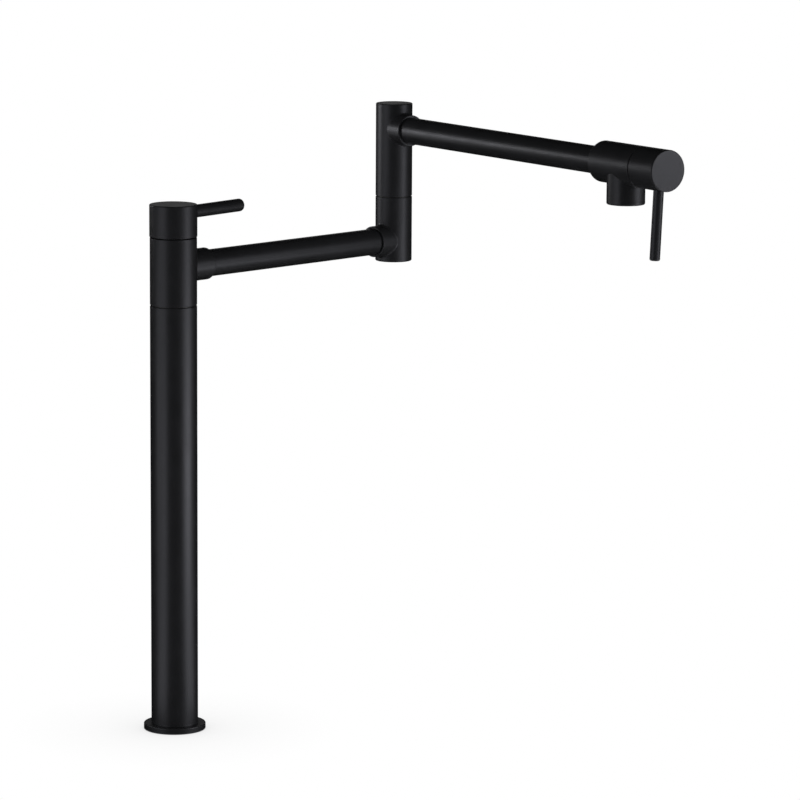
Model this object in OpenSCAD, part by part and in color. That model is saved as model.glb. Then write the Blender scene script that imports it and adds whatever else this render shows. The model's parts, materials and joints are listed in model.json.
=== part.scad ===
// Deck-mounted pot filler: a column, two swinging arms and a shut-off valve at each end.
// The origin is the centre of the base flange's underside, on the worktop's top face.
// +Z is up. The arms stand at rest as they do in the photograph.

/* [Base] */
// Diameter of the base flange
flange_d = 50.3; // [46:0.1:60]
// Thickness of the base flange
flange_t = 5; // [4:0.1:8]
// Width of the gasket's face under the flange
gasket_w = 3.8; // [2.5:0.1:4.5]
// Thickness of the gasket under the flange
gasket_t = 1.5; // [1:0.1:2]
// Thickness of the worktop that the base clamps
worktop_t = 30; // [10:1:40]
// Diameter of the threaded mounting shank
shank_d = 26.4; // [24:0.1:28]
// Reach of the shank's thread below the worktop's top face
shank_drop = 60; // [56:1:80]
// Diameter of the washers under the worktop
washer_d = 48; // [42:1:56]
// Thickness of each washer under the worktop
washer_t = 2; // [1:0.5:3]
// Width across the flats of the mounting nut
nut_af = 38; // [34:1:42]
// Height of the mounting nut
nut_h = 8; // [5:1:9]
// Diameter over the thread of the water inlet
inlet_d = 20.96; // [19:0.01:23]
// Length of the water inlet
inlet_l = 14; // [10:1:20]
// Diameter of the waterway through the shank
shank_bore_d = 15; // [12:0.5:16]

/* [Column] */
// Outer diameter of the column and of the swivel hub
column_d = 38; // [37:0.1:42]
// Wall of the column tube
column_wall = 2; // [1.5:0.1:2.5]
// Height of the column tube's top edge above the worktop
column_h = 348.6; // [250:0.1:450]
// Outer diameter of the riser pipe inside the column
riser_d = 12; // [10:0.5:14]
// Wall of the riser pipe
riser_wall = 1; // [0.8:0.1:1.5]
// Height of the plug at the foot of the column
foot_h = 22; // [20:0.5:30]
// Depth of the head that closes the top of the column
head_h = 20; // [16:0.5:30]

/* [Swivel joints] */
// Diameter of the spigots that the hub and the elbow turn on
spigot_d = 20; // [19:0.1:21]
// Diameter of the waterway through a spigot
spigot_bore_d = 11; // [8:0.5:12]
// Length of the bearing bore on a spigot
bearing_l = 12.3; // [11:0.1:16]
// Height of the open line between two turning barrels
seam = 0.8; // [0.6:0.05:1.2]
// Depth of that line, down to the glide washer
seam_depth = 1.2; // [0.8:0.1:2]
// Thickness of the cord of a spigot's sealing ring
seal_cord_d = 2.2; // [1.8:0.1:2.4]
// Depth of the retaining clip's groove
clip_depth = 1; // [0.6:0.1:1.2]
// Thickness of the retaining clip
clip_t = 1.2; // [0.8:0.1:1.5]
// Height of the room for the clip above the bearing
clip_room = 4.5; // [4:0.1:6]

/* [Arms] */
// Heading of the lower arm, anticlockwise from +X
lower_arm_angle = 41.6; // [-60:0.1:140]
// Distance from the column's axis to the elbow's axis
lower_arm_l = 253.6; // [180:0.1:320]
// Heading of the upper arm, anticlockwise from +X
upper_arm_angle = -59.56; // [-140:0.01:60]
// Distance from the elbow's axis to the back face of the outlet valve
upper_arm_l = 290; // [200:0.5:340]
// Outer diameter of the arm tubes
arm_d = 22; // [20:0.1:23]
// Wall of the arm tubes
arm_wall = 1.5; // [1:0.1:2]
// Depth of the sockets that hold the arm tubes
arm_socket = 11.5; // [9:0.1:12]
// Diameter of the stubs that the arm tubes enter
stub_d = 26; // [25.4:0.1:28]
// Reach of the hub's stub from the column's axis
hub_stub = 35.5; // [33:0.1:45]
// Reach of an elbow stub from the elbow's axis
elbow_stub = 25; // [24:0.1:32]
// Width of the open ring round a tube at its stub's end
recess_w = 0.55; // [0.3:0.05:0.6]
// Depth of that ring
recess_depth = 0.8; // [0.4:0.1:1.5]

/* [Elbow] */
// Diameter of the elbow's two barrels
elbow_d = 30.7; // [30:0.1:34]
// Depth of the lower barrel below the lower arm's axis
elbow_foot = 17.8; // [16:0.1:24]
// Height of the lower barrel above the lower arm's axis
elbow_neck = 36.7; // [34:0.1:50]
// Height of the upper arm's axis above the upper barrel's bottom edge
upper_arm_rise = 56.5; // [40:0.1:70]
// Height of the upper barrel above the upper arm's axis
elbow_head = 21.4; // [20:0.1:28]
// Depth of the spigot's seat in the lower barrel
spindle_seat = 18; // [12:0.5:22]
// Diameter of the plug in the elbow's top
plug_d = 23; // [22.6:0.1:24]
// Thickness of the plug in the elbow's top
plug_t = 6; // [4:0.5:8]

/* [Valves] */
// Depth of a valve's seat below the end of the body that holds it
valve_depth = 33.5; // [33:0.1:35.5]
// Thickness of the screwed seat in the hub
seat_t = 4; // [3:0.1:6]
// Diameter of the hole in a valve seat
seat_bore_d = 10; // [8:0.5:11]
// Diameter of a valve cartridge's threaded collar
cartridge_d = 24; // [23.4:0.1:24.6]
// Diameter of a cartridge's barrel
barrel_d = 20; // [19:0.1:21]
// Wall of a cartridge's barrel
barrel_wall = 1.4; // [1:0.1:1.8]
// Width across the flats of a cartridge's hexagon
cartridge_af = 19; // [17:1:20]
// Diameter of a valve stem
stem_d = 9; // [8:0.1:10]
// Diameter of the splined end of a stem
spline_d = 8; // [7:0.1:8]
// Number of teeth on the splined end
spline_teeth = 20; // [12:2:24]
// Thickness of a ceramic disc
disc_t = 3; // [2.5:0.1:3.5]

/* [Outlet] */
// Diameter of the outlet valve's body and of its handle cap
outlet_d = 32.9; // [32:0.1:36]
// Length of the outlet body between the tube's end and the valve's seat
outlet_web = 6; // [4:0.1:9]
// Distance from the outlet valve's seat to the nozzle's axis
nozzle_from_seat = 11.2; // [10.5:0.1:13]
// Diameter of the nozzle
nozzle_d = 30.4; // [28:0.1:31]
// Drop of the nozzle's mouth below the upper arm's axis
nozzle_drop = 31.1; // [28:0.1:45]
// Diameter of the aerator
aerator_d = 23.8; // [22:0.1:24]
// Height of the aerator's housing
aerator_h = 8.5; // [6:0.1:9]
// Rings of holes round the middle hole of the aerator
aerator_rings = 3; // [2:1:3]

/* [Handles] */
// Overhang of the base handle's cap over the hub's side
cap_overhang = 0.3; // [0:0.05:0.6]
// Height of the base handle's cap
base_cap_h = 26.1; // [25.4:0.1:32]
// Length of the outlet handle's cap
outlet_cap_h = 29.6; // [25:0.1:36]
// Heading of the base lever, anticlockwise from +X
base_lever_angle = 47; // [-60:0.5:140]
// Lean of the outlet lever from plumb, towards the arm's right side
outlet_lever_lean = 3; // [0:0.5:10]
// Diameter of the base lever
base_lever_d = 10.5; // [8:0.1:12]
// Reach of the base lever's tip from the column's axis
base_lever_reach = 82.5; // [60:0.5:100]
// Drop of the base lever's axis below the top of its cap
base_lever_drop = 8.2; // [7:0.1:9]
// Diameter of the outlet lever
outlet_lever_d = 8.25; // [7:0.05:10]
// Reach of the outlet lever's tip from the arm's axis
outlet_lever_reach = 70.8; // [50:0.1:90]
// Distance from the outlet cap's end face to the lever's axis
outlet_lever_drop = 10.3; // [7:0.1:11]
// Diameter of the thread that fixes a lever in its cap
lever_thread_d = 6; // [5:0.5:7]
// Diameter of the grub screws
grub_d = 4; // [3:0.5:4.5]
// Length of the grub screws
grub_l = 6; // [4:0.5:8]

/* [Edges and clearances] */
// Rounding of the flange's upper edge
flange_round = 0.8; // [0.4:0.1:1.5]
// Rounding of a handle cap's outer edge
cap_round = 0.8; // [0.4:0.1:1.5]
// Rounding of the base lever's tip
base_tip_round = 2; // [0.5:0.1:4]
// Rounding of the outlet lever's tip
outlet_tip_round = 1.5; // [0.5:0.1:3]
// Rounding of the outer edge of the hub's stub
stub_round = 1; // [0.4:0.1:1.2]
// Rounding of the nozzle's mouth
nozzle_round = 1.2; // [0.5:0.1:1.5]
// Bevel of small turned edges
bevel = 0.4; // [0.2:0.1:0.5]
// Radial gap of a joint that turns
run_gap = 0.06; // [0.03:0.01:0.08]
// Radial gap of a thread, press fit or socket
fit_gap = 0.05; // [0.03:0.01:0.1]
// Gap between end faces that turn past each other
face_gap = 0.1; // [0.05:0.05:0.2]

/* [Hidden] */
$fn = 96;
arc_steps = 6;
overcut = 1;

// Gap round a piece that slips over a pin or into a bore
loose_gap = 0.2;
// Gap of a piece that lies free in its groove or recess
slip_gap = 0.1;
// Bevel at the ends of the large threads
thread_bevel = 0.8;
// Bevel of the smallest turned edges
fine_bevel = 0.3;

black = "#1d1d1f";
brass = "#b8954a";
copper = "#b87346";
rubber = "#2e2e2e";
steel = "#b4b7ba";
ceramic = "#e9e6df";
acetal = "#232324";

flange_r = flange_d / 2;
column_r = column_d / 2;
shank_r = shank_d / 2;
spigot_r = spigot_d / 2;
arm_r = arm_d / 2;
stub_r = stub_d / 2;
elbow_r = elbow_d / 2;
outlet_r = outlet_d / 2;
cartridge_r = cartridge_d / 2;
barrel_r = barrel_d / 2;
stem_r = stem_d / 2;
spline_r = spline_d / 2;
inlet_r = inlet_d / 2;
base_cap_r = column_r + cap_overhang;
column_bore_r = column_r - column_wall;
arm_bore_r = arm_r - arm_wall;

// The column stands in a shallow register in the flange's top
register_depth = 1;
column_z = flange_t - register_depth;
gasket_mid_r = (shank_r + flange_r) / 2;

// The shank screws into the foot from below, and the riser pipe enters it from above
foot_top = column_z + foot_h;
shank_top = column_z + 13.5;
pipe_socket = 5;
head_bottom = column_h - head_h;

// The hub's heights follow from what it holds, from the bottom up
hub_z = column_h + seam;
hub_ledge = hub_z + bearing_l;
base_seat_z = hub_ledge + clip_room + seat_t;
hub_top = base_seat_z + valve_depth;
port_rise = 9.2;
lower_arm_z = base_seat_z + port_rise;
hub_bore_r = cartridge_r + fit_gap;
port_r = 7.5;

// Elbow
elbow_at = [lower_arm_l * cos(lower_arm_angle), lower_arm_l * sin(lower_arm_angle), 0];
elbow_bottom = lower_arm_z - elbow_foot;
elbow_split = lower_arm_z + elbow_neck;
upper_elbow_z = elbow_split + seam;
upper_arm_z = upper_elbow_z + upper_arm_rise;
elbow_top = upper_arm_z + elbow_head;
elbow_floor = 4.5;
elbow_bore_r = 8.5;
plug_r = plug_d / 2;

// Spigot details, measured up from the bottom edge of the barrel that turns on it
clip_lift = 0.3;
clip_z = bearing_l + clip_lift;
clip_reach = 0.9;
spigot_l = clip_z + clip_t + 1.8;
clip_bore_r = spigot_r + clip_reach + loose_gap;
seal_groove_w = seal_cord_d + 0.5;
seal_zs = [bearing_l * 0.28, bearing_l * 0.72];
seal_mid_r = spigot_r + run_gap - 0.08 - seal_cord_d / 2;

// Valve cartridge, measured from the seat outwards
seal_ring_t = 2.2;
disc_gap = 0.05;
disc_z = seal_ring_t + disc_t + disc_gap;
fork_z = disc_z + disc_t;
tongue_h = 1;
tongue_w = 4;
fork_w = 5.5;
shoulder_z = fork_z + 6;
collar_z = 20;
hex_z = 30;
hex_top = 36;
spline_z = hex_top + 0.5;
stem_top = 50;
barrel_bore_r = barrel_r - barrel_wall;
disc_r = barrel_bore_r - fit_gap;
turning_disc_r = barrel_bore_r - loose_gap;
stem_seal_d = 1.5;
collar_seal_d = 2;
disc_rim = 1.6;
disc_hub_r = 1.6;
disc_web = 0.5;
sector_r = disc_r - disc_rim;
window_inset = 0.4;
seat_seal_inset = 0.4;
collar_groove = 0.6;
stem_groove = 5;
groove_slack = 0.2;

// Outlet valve, measured along the upper arm from the elbow's axis
outlet_seat_s = upper_arm_l + arm_socket + outlet_web;
outlet_end_s = outlet_seat_s + valve_depth;
nozzle_s = outlet_seat_s + nozzle_from_seat;
nozzle_z = upper_arm_z - nozzle_drop;
aerator_r = aerator_d / 2;
aerator_set_back = 0.8;
aerator_wall = 2;
aerator_seal_t = 1.5;
nozzle_bore_r = aerator_r + fit_gap;
nozzle_way_r = aerator_r - 2.4;
screen_t = 3;

// Handle caps, measured from the cap's open end
skirt_wall = 3.5;
cap_start = valve_depth + seam;
boss_r = 7.2;
boss_z = hex_top - cap_start + 0.5;
cavity_h = 10;
socket_h = stem_top - cap_start + 0.4;
lever_seat = 2;
lever_root_r = 8;
root_gap = 0.5;
grub_z = 13;
grub_tip_gap = 0.15;

// Points of a quarter arc about (r - e, zc), from the angle start
function edge_arc(r, zc, e, start) = [for (i = [0 : arc_steps])
    let (a = start + 90 * i / arc_steps) [r - e + e * cos(a), zc + e * sin(a)]];

// Half outline of a turned barrel with a rounded edge at each end
function rounded_outline(r, z0, z1, e0, e1) = concat(
    [[0, z0]],
    edge_arc(r, z0 + e0, e0, -90),
    edge_arc(r, z1 - e1, e1, 0),
    [[0, z1]]);

// Half outline of a turned barrel with a flat bevel at each end
function beveled_outline(r, z0, z1, b0, b1) =
    [[0, z0], [r - b0, z0], [r, z0 + b0], [r, z1 - b1], [r - b1, z1], [0, z1]];

module turned(outline) {
    rotate_extrude()
        polygon(outline);
}

module rounded_barrel(r, z0, z1, e0, e1) {
    turned(rounded_outline(r, z0, z1, e0, e1));
}

module beveled_barrel(r, z0, z1, b0 = bevel, b1 = bevel) {
    turned(beveled_outline(r, z0, z1, b0, b1));
}

// A round bore or rod from z0 to z1
module rod(r, z0, z1) {
    translate([0, 0, z0])
        cylinder(r = r, h = z1 - z0);
}

// A flat ring from z0 to z1
module ring(r_in, r_out, z0, z1) {
    difference() {
        rod(r_out, z0, z1);
        rod(r_in, z0 - overcut, z1 + overcut);
    }
}

// A hexagonal bar with beveled corners
module hex_bar(af, z0, z1) {
    corner_r = af / sqrt(3);
    corner_bevel = (corner_r - af / 2) * 0.6;
    intersection() {
        translate([0, 0, z0])
            cylinder(r = corner_r, h = z1 - z0, $fn = 6);
        turned(beveled_outline(corner_r, z0, z1, corner_bevel, corner_bevel));
    }
}

// A sealing ring of round cord
module cord_ring(mid_r, cord_r, z) {
    translate([0, 0, z])
        rotate_extrude()
            translate([mid_r, 0])
                circle(r = cord_r, $fn = 48);
}

// Frames in which the moving groups are drawn
module on_lower_arm() {
    rotate([0, 0, lower_arm_angle])
        children();
}

module on_elbow() {
    translate(elbow_at)
        children();
}

module on_upper_arm() {
    on_elbow()
        rotate([0, 0, upper_arm_angle])
            children();
}

// Lays a piece drawn along Z onto an arm's axis, pointing along +X from x at height z
module along_arm(x, z) {
    translate([x, 0, z])
        rotate([0, 90, 0])
            children();
}

module on_base_seat(heading) {
    translate([0, 0, base_seat_z])
        rotate([0, 0, heading])
            children();
}

module on_outlet_seat(lean = 0) {
    on_upper_arm()
        along_arm(outlet_seat_s, upper_arm_z)
            rotate([0, 0, -lean])
                children();
}

// Base and column

module base_flange() {
    color(black)
        difference() {
            rounded_barrel(flange_r, 0, flange_t, bevel, flange_round);
            rod(shank_r + loose_gap, -overcut, flange_t + overcut);
            rod(column_r + fit_gap, column_z, flange_t + overcut);
            ring(gasket_mid_r - gasket_w / 2 - slip_gap, gasket_mid_r + gasket_w / 2 + slip_gap,
                -overcut, gasket_t);
        }
}

module base_gasket() {
    color(rubber)
        ring(gasket_mid_r - gasket_w / 2, gasket_mid_r + gasket_w / 2, 0, gasket_t);
}

module column_tube() {
    color(black)
        difference() {
            beveled_barrel(column_r, column_z, column_h);
            rod(column_bore_r, column_z - overcut, column_h + overcut);
        }
}

module column_foot() {
    plug_r = column_bore_r - fit_gap;
    color(brass)
        difference() {
            beveled_barrel(plug_r, column_z, foot_top);
            rod(shank_r + fit_gap, column_z - overcut, shank_top);
            rod(riser_d / 2 - riser_wall, shank_top - overcut, foot_top);
            rod(riser_d / 2 + fit_gap, foot_top - pipe_socket, foot_top + overcut);
        }
}

module mounting_shank() {
    color(brass)
        difference() {
            union() {
                beveled_barrel(shank_r, -shank_drop, shank_top, thread_bevel, thread_bevel);
                beveled_barrel(inlet_r, -shank_drop - inlet_l, 0, thread_bevel, thread_bevel);
            }
            rod(shank_bore_d / 2, -shank_drop - inlet_l - overcut, shank_top + overcut);
        }
}

// The seal, washer and nut are stacked up against the worktop's underside
module worktop_seal() {
    color(rubber)
        ring(shank_r + loose_gap, washer_d / 2, -worktop_t - washer_t, -worktop_t);
}

module clamp_washer() {
    color(steel)
        ring(shank_r + loose_gap, washer_d / 2, -worktop_t - 2 * washer_t, -worktop_t - washer_t);
}

module mounting_nut() {
    nut_top = -worktop_t - 2 * washer_t;
    color(brass)
        difference() {
            hex_bar(nut_af, nut_top - nut_h, nut_top);
            rod(shank_r + fit_gap, nut_top - nut_h - overcut, nut_top + overcut);
        }
}

module riser_pipe() {
    color(copper)
        ring(riser_d / 2 - riser_wall, riser_d / 2, foot_top - pipe_socket, head_bottom + pipe_socket);
}

// The grooves of a spigot, cut from the bottom edge of the barrel that turns on it
module spigot_grooves() {
    for (z = seal_zs)
        ring(seal_mid_r - seal_cord_d / 2, spigot_r + overcut,
            z - seal_groove_w / 2, z + seal_groove_w / 2);
    ring(spigot_r - clip_depth, spigot_r + overcut, clip_z - slip_gap, clip_z + clip_t + slip_gap);
}

module spigot_seal_rings() {
    for (z = seal_zs)
        cord_ring(seal_mid_r, seal_cord_d / 2, z);
}

// An open ring that snaps into the spigot's groove
module spigot_clip() {
    gap_w = 4;
    difference() {
        ring(spigot_r - clip_depth + fit_gap, spigot_r + clip_reach, clip_z, clip_z + clip_t);
        translate([0, -gap_w / 2, clip_z - overcut])
            cube([spigot_r + clip_reach + overcut, gap_w, clip_t + 2 * overcut]);
    }
}

module column_head() {
    color(brass)
        difference() {
            union() {
                beveled_barrel(column_bore_r - fit_gap, head_bottom, column_h);
                beveled_barrel(spigot_r, head_bottom, hub_z + spigot_l);
            }
            rod(spigot_bore_d / 2, head_bottom - overcut, hub_z + spigot_l + overcut);
            rod(riser_d / 2 + fit_gap, head_bottom - overcut, head_bottom + pipe_socket);
            translate([0, 0, hub_z])
                spigot_grooves();
        }
}

module swivel_washer() {
    color(acetal)
        ring(spigot_r + loose_gap, column_r - seam_depth, column_h, hub_z - face_gap);
}

module swivel_seal_rings() {
    color(rubber)
        translate([0, 0, hub_z])
            spigot_seal_rings();
}

module swivel_clip() {
    color(steel)
        translate([0, 0, hub_z])
            spigot_clip();
}

// Lower arm

// The socket for an arm tube in a stub that ends at x, with an open ring round the tube
module tube_socket(x) {
    rod(arm_r + fit_gap, x - arm_socket, x + overcut);
    rod(arm_r + fit_gap + recess_w, x - recess_depth, x + overcut);
}

module swivel_hub() {
    color(black)
        on_lower_arm()
            difference() {
                union() {
                    beveled_barrel(column_r, hub_z, hub_top);
                    along_arm(0, lower_arm_z)
                        rounded_barrel(stub_r, 0, hub_stub, bevel, stub_round);
                }
                rod(spigot_r + run_gap, hub_z - overcut, hub_ledge + overcut);
                rod(clip_bore_r, hub_ledge, hub_ledge + clip_room + overcut);
                rod(hub_bore_r, hub_ledge + clip_room, hub_top + overcut);
                along_arm(0, lower_arm_z) {
                    rod(port_r, 0, hub_stub);
                    tube_socket(hub_stub);
                }
            }
}

module base_valve_seat() {
    color(brass)
        on_base_seat(lower_arm_angle)
            difference() {
                beveled_barrel(cartridge_r, -seat_t, 0, fine_bevel, fine_bevel);
                rod(seat_bore_d / 2, -seat_t - overcut, overcut);
            }
}

module lower_arm_tube() {
    color(black)
        on_lower_arm()
            along_arm(0, lower_arm_z)
                ring(arm_bore_r, arm_r, hub_stub - arm_socket, lower_arm_l - elbow_stub + arm_socket);
}

// A stub with its tube socket, along +X from the elbow's axis
module elbow_stub_solid() {
    along_arm(0, 0)
        beveled_barrel(stub_r, 0, elbow_stub);
}

module elbow_stub_bore() {
    along_arm(0, 0) {
        rod(port_r, 0, elbow_stub);
        tube_socket(elbow_stub);
    }
}

module lower_elbow() {
    color(black)
        on_elbow()
            rotate([0, 0, lower_arm_angle + 180])
                difference() {
                    union() {
                        rounded_barrel(elbow_r, elbow_bottom, elbow_split, 1, bevel);
                        translate([0, 0, lower_arm_z])
                            elbow_stub_solid();
                    }
                    rod(elbow_bore_r, elbow_bottom + elbow_floor, elbow_split);
                    rod(spigot_r + fit_gap, elbow_split - spindle_seat, elbow_split + overcut);
                    translate([0, 0, lower_arm_z])
                        elbow_stub_bore();
                }
}

module elbow_spindle() {
    color(brass)
        on_elbow()
            difference() {
                beveled_barrel(spigot_r, elbow_split - spindle_seat, upper_elbow_z + spigot_l);
                rod(spigot_bore_d / 2, elbow_split - spindle_seat - overcut,
                    upper_elbow_z + spigot_l + overcut);
                translate([0, 0, upper_elbow_z])
                    spigot_grooves();
            }
}

module elbow_washer() {
    color(acetal)
        on_elbow()
            ring(spigot_r + loose_gap, elbow_r - seam_depth, elbow_split, upper_elbow_z - face_gap);
}

module elbow_seal_rings() {
    color(rubber)
        on_elbow()
            translate([0, 0, upper_elbow_z])
                spigot_seal_rings();
}

module elbow_clip() {
    color(steel)
        on_elbow()
            translate([0, 0, upper_elbow_z])
                spigot_clip();
}

// Upper arm

module upper_elbow() {
    color(black)
        on_upper_arm()
            difference() {
                union() {
                    rounded_barrel(elbow_r, upper_elbow_z, elbow_top, bevel, cap_round);
                    translate([0, 0, upper_arm_z])
                        elbow_stub_solid();
                }
                rod(spigot_r + run_gap, upper_elbow_z - overcut, elbow_top);
                rod(clip_bore_r, upper_elbow_z + bearing_l, elbow_top);
                rod(plug_r + fit_gap, elbow_top - plug_t, elbow_top + overcut);
                translate([0, 0, upper_arm_z])
                    elbow_stub_bore();
            }
}

module elbow_plug() {
    color(black)
        on_elbow()
            beveled_barrel(plug_r, elbow_top - plug_t, elbow_top);
}

module upper_arm_tube() {
    color(black)
        on_upper_arm()
            along_arm(0, upper_arm_z)
                ring(arm_bore_r, arm_r, elbow_stub - arm_socket, upper_arm_l + arm_socket);
}

module outlet_body() {
    color(black)
        on_upper_arm()
            difference() {
                union() {
                    along_arm(0, upper_arm_z)
                        rounded_barrel(outlet_r, upper_arm_l, outlet_end_s, 1, bevel);
                    translate([nozzle_s, 0, 0])
                        rounded_barrel(nozzle_d / 2, nozzle_z, upper_arm_z, nozzle_round, bevel);
                }
                along_arm(0, upper_arm_z) {
                    rod(arm_r + fit_gap, upper_arm_l - overcut, upper_arm_l + arm_socket);
                    rod(port_r, upper_arm_l, outlet_seat_s - seat_t);
                    rod(seat_bore_d / 2, upper_arm_l, outlet_end_s);
                    rod(hub_bore_r, outlet_seat_s, outlet_end_s + overcut);
                }
                translate([nozzle_s, 0, 0]) {
                    rod(nozzle_way_r, nozzle_z - overcut, upper_arm_z - barrel_r);
                    rod(nozzle_bore_r, nozzle_z - overcut,
                        nozzle_z + aerator_set_back + aerator_h + aerator_seal_t);
                }
            }
}

module aerator_housing() {
    z0 = nozzle_z + aerator_set_back;
    color(steel)
        on_upper_arm()
            translate([nozzle_s, 0, 0])
                difference() {
                    beveled_barrel(aerator_r, z0, z0 + aerator_h);
                    rod(aerator_r - aerator_wall, z0 - overcut, z0 + aerator_h - screen_t);
                    rod(aerator_r - 2 * aerator_wall, z0, z0 + aerator_h + overcut);
                }
}

// A disc with rings of holes, held under the housing's inner shoulder
module aerator_screen() {
    edge_share = 0.7;
    disc_radius = aerator_r - aerator_wall - fit_gap;
    top = nozzle_z + aerator_set_back + aerator_h - screen_t;
    pitch = disc_radius / (aerator_rings + edge_share);
    hole_r = pitch * 0.3;
    color(acetal)
        on_upper_arm()
            translate([nozzle_s, 0, 0])
                difference() {
                    rod(disc_radius, top - screen_t, top);
                    rod(hole_r, top - screen_t - overcut, top + overcut);
                    for (k = [1 : aerator_rings])
                        for (i = [0 : 6 * k - 1])
                            rotate([0, 0, i * 60 / k])
                                translate([k * pitch, 0, 0])
                                    rod(hole_r, top - screen_t - overcut, top + overcut);
                }
}

module aerator_seal() {
    z0 = nozzle_z + aerator_set_back + aerator_h;
    color(rubber)
        on_upper_arm()
            translate([nozzle_s, 0, 0])
                ring(nozzle_way_r + loose_gap, aerator_r - loose_gap, z0, z0 + aerator_seal_t);
}

// Valve cartridge pieces, drawn up from the seat

// The brass body: a barrel with two side windows, a threaded collar and a hexagon
module cartridge_body() {
    window_w = barrel_d * 0.5;
    color(brass)
        difference() {
            union() {
                beveled_barrel(barrel_r, 0, collar_z + overcut, fine_bevel, fine_bevel);
                beveled_barrel(cartridge_r, collar_z, hex_z);
                hex_bar(cartridge_af, hex_z - overcut, hex_top);
            }
            rod(barrel_bore_r, -overcut, shoulder_z + loose_gap);
            rod(stem_r + run_gap, 0, hex_top + overcut);
            translate([-cartridge_r, -window_w / 2, fork_z + window_inset])
                cube([cartridge_d, window_w, shoulder_z - fork_z - 2 * window_inset]);
            ring(cartridge_r - collar_seal_d, cartridge_r + overcut,
                collar_z + collar_groove, collar_z + collar_groove + collar_seal_d + 2 * groove_slack);
        }
}

module cartridge_collar_seal() {
    color(rubber)
        cord_ring(cartridge_r - collar_seal_d / 2, collar_seal_d / 2,
            collar_z + collar_groove + groove_slack + collar_seal_d / 2);
}

module cartridge_seat_seal() {
    color(rubber)
        ring(seat_bore_d / 2 + seat_seal_inset, disc_r - slip_gap, 0, seal_ring_t);
}

// The two opposite quarter openings of a ceramic disc
module disc_openings(z0, z1) {
    w = disc_web;
    translate([0, 0, z0])
        linear_extrude(height = z1 - z0)
            difference() {
                intersection() {
                    circle(r = sector_r);
                    union() {
                        polygon([[w, 0], [disc_r, disc_r - w], [disc_r, w - disc_r]]);
                        polygon([[-w, 0], [-disc_r, disc_r - w], [-disc_r, w - disc_r]]);
                    }
                }
                circle(r = disc_hub_r);
            }
}

module fixed_disc() {
    color(ceramic)
        difference() {
            rod(disc_r, seal_ring_t, seal_ring_t + disc_t);
            disc_openings(seal_ring_t - overcut, seal_ring_t + disc_t + overcut);
        }
}

// Drawn closed: its openings lie across those of the fixed disc
module turning_disc() {
    color(ceramic)
        difference() {
            rod(turning_disc_r, disc_z, fork_z);
            rotate([0, 0, 90])
                disc_openings(disc_z - overcut, fork_z + overcut);
            translate([-disc_r, -tongue_w / 2, fork_z - tongue_h])
                cube([2 * disc_r, tongue_w, tongue_h + overcut]);
        }
}

module valve_stem() {
    tooth_cut_r = spline_r * sin(90 / spline_teeth);
    fork_r = turning_disc_r - slip_gap;
    color(brass)
        difference() {
            union() {
                intersection() {
                    rod(fork_r, fork_z, shoulder_z);
                    translate([-disc_r, -fork_w / 2, fork_z])
                        cube([2 * disc_r, fork_w, shoulder_z]);
                }
                intersection() {
                    rod(fork_r, fork_z - tongue_h, fork_z + overcut);
                    translate([-disc_r, -tongue_w / 2 + fit_gap, fork_z - tongue_h])
                        cube([2 * disc_r, tongue_w - 2 * fit_gap, tongue_h + overcut]);
                }
                rod(stem_r, shoulder_z - overcut, spline_z);
                beveled_barrel(spline_r, spline_z - overcut, stem_top);
            }
            ring(stem_r - stem_seal_d, stem_r + overcut,
                collar_z + stem_groove, collar_z + stem_groove + stem_seal_d + 2 * groove_slack);
            for (i = [0 : spline_teeth - 1])
                rotate([0, 0, i * 360 / spline_teeth])
                    translate([spline_r, 0, 0])
                        rod(tooth_cut_r, spline_z + 1, stem_top + overcut);
        }
}

module stem_seal() {
    color(rubber)
        cord_ring(stem_r - stem_seal_d / 2, stem_seal_d / 2,
            collar_z + stem_groove + groove_slack + stem_seal_d / 2);
}

// A handle cap drawn up from its open end, with its lever along +X
module handle_cap(r, h, lever_r, lever_z) {
    color(black)
        difference() {
            rounded_barrel(r, 0, h, bevel, cap_round);
            ring(boss_r, r - skirt_wall, -overcut, cavity_h);
            rod(boss_r + overcut, -overcut, boss_z);
            rod(spline_r + fit_gap, 0, socket_h);
            translate([0, 0, lever_z])
                rotate([0, 90, 0]) {
                    rod(lever_thread_d / 2 + fit_gap, lever_root_r - root_gap, r);
                    rod(lever_r + fit_gap, r - lever_seat, r + overcut);
                }
            translate([0, 0, grub_z])
                rotate([-90, 0, 0])
                    rod(grub_d / 2 + fit_gap, spline_r - overcut, r + overcut);
        }
}

// A lever rod with a threaded root, along +X from its cap's axis
module lever(cap_r, lever_r, reach, lever_z, tip_round) {
    color(black)
        translate([0, 0, lever_z])
            rotate([0, 90, 0]) {
                rounded_barrel(lever_r, cap_r - lever_seat, reach, fine_bevel, tip_round);
                beveled_barrel(lever_thread_d / 2, lever_root_r, cap_r - lever_seat + 0.2);
            }
}

// A socket set screw, along +Y, with its tip just short of the stem
module grub_screw() {
    tip = spline_r + grub_tip_gap;
    key_af = grub_d / 2;
    key_depth = grub_l * 0.4;
    color(steel)
        translate([0, 0, grub_z])
            rotate([-90, 0, 0])
                difference() {
                    beveled_barrel(grub_d / 2, tip, tip + grub_l);
                    translate([0, 0, tip + grub_l - key_depth])
                        cylinder(r = key_af / sqrt(3), h = key_depth + overcut, $fn = 6);
                }
}

// Valves in their places

module base_cartridge() {
    on_base_seat(lower_arm_angle)
        cartridge_body();
}

module base_cartridge_seal_ring() {
    on_base_seat(lower_arm_angle)
        cartridge_collar_seal();
}

module base_seat_seal() {
    on_base_seat(lower_arm_angle)
        cartridge_seat_seal();
}

module base_fixed_disc() {
    on_base_seat(lower_arm_angle)
        fixed_disc();
}

module base_turning_disc() {
    on_base_seat(lower_arm_angle)
        turning_disc();
}

module base_valve_stem() {
    on_base_seat(lower_arm_angle)
        valve_stem();
}

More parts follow.
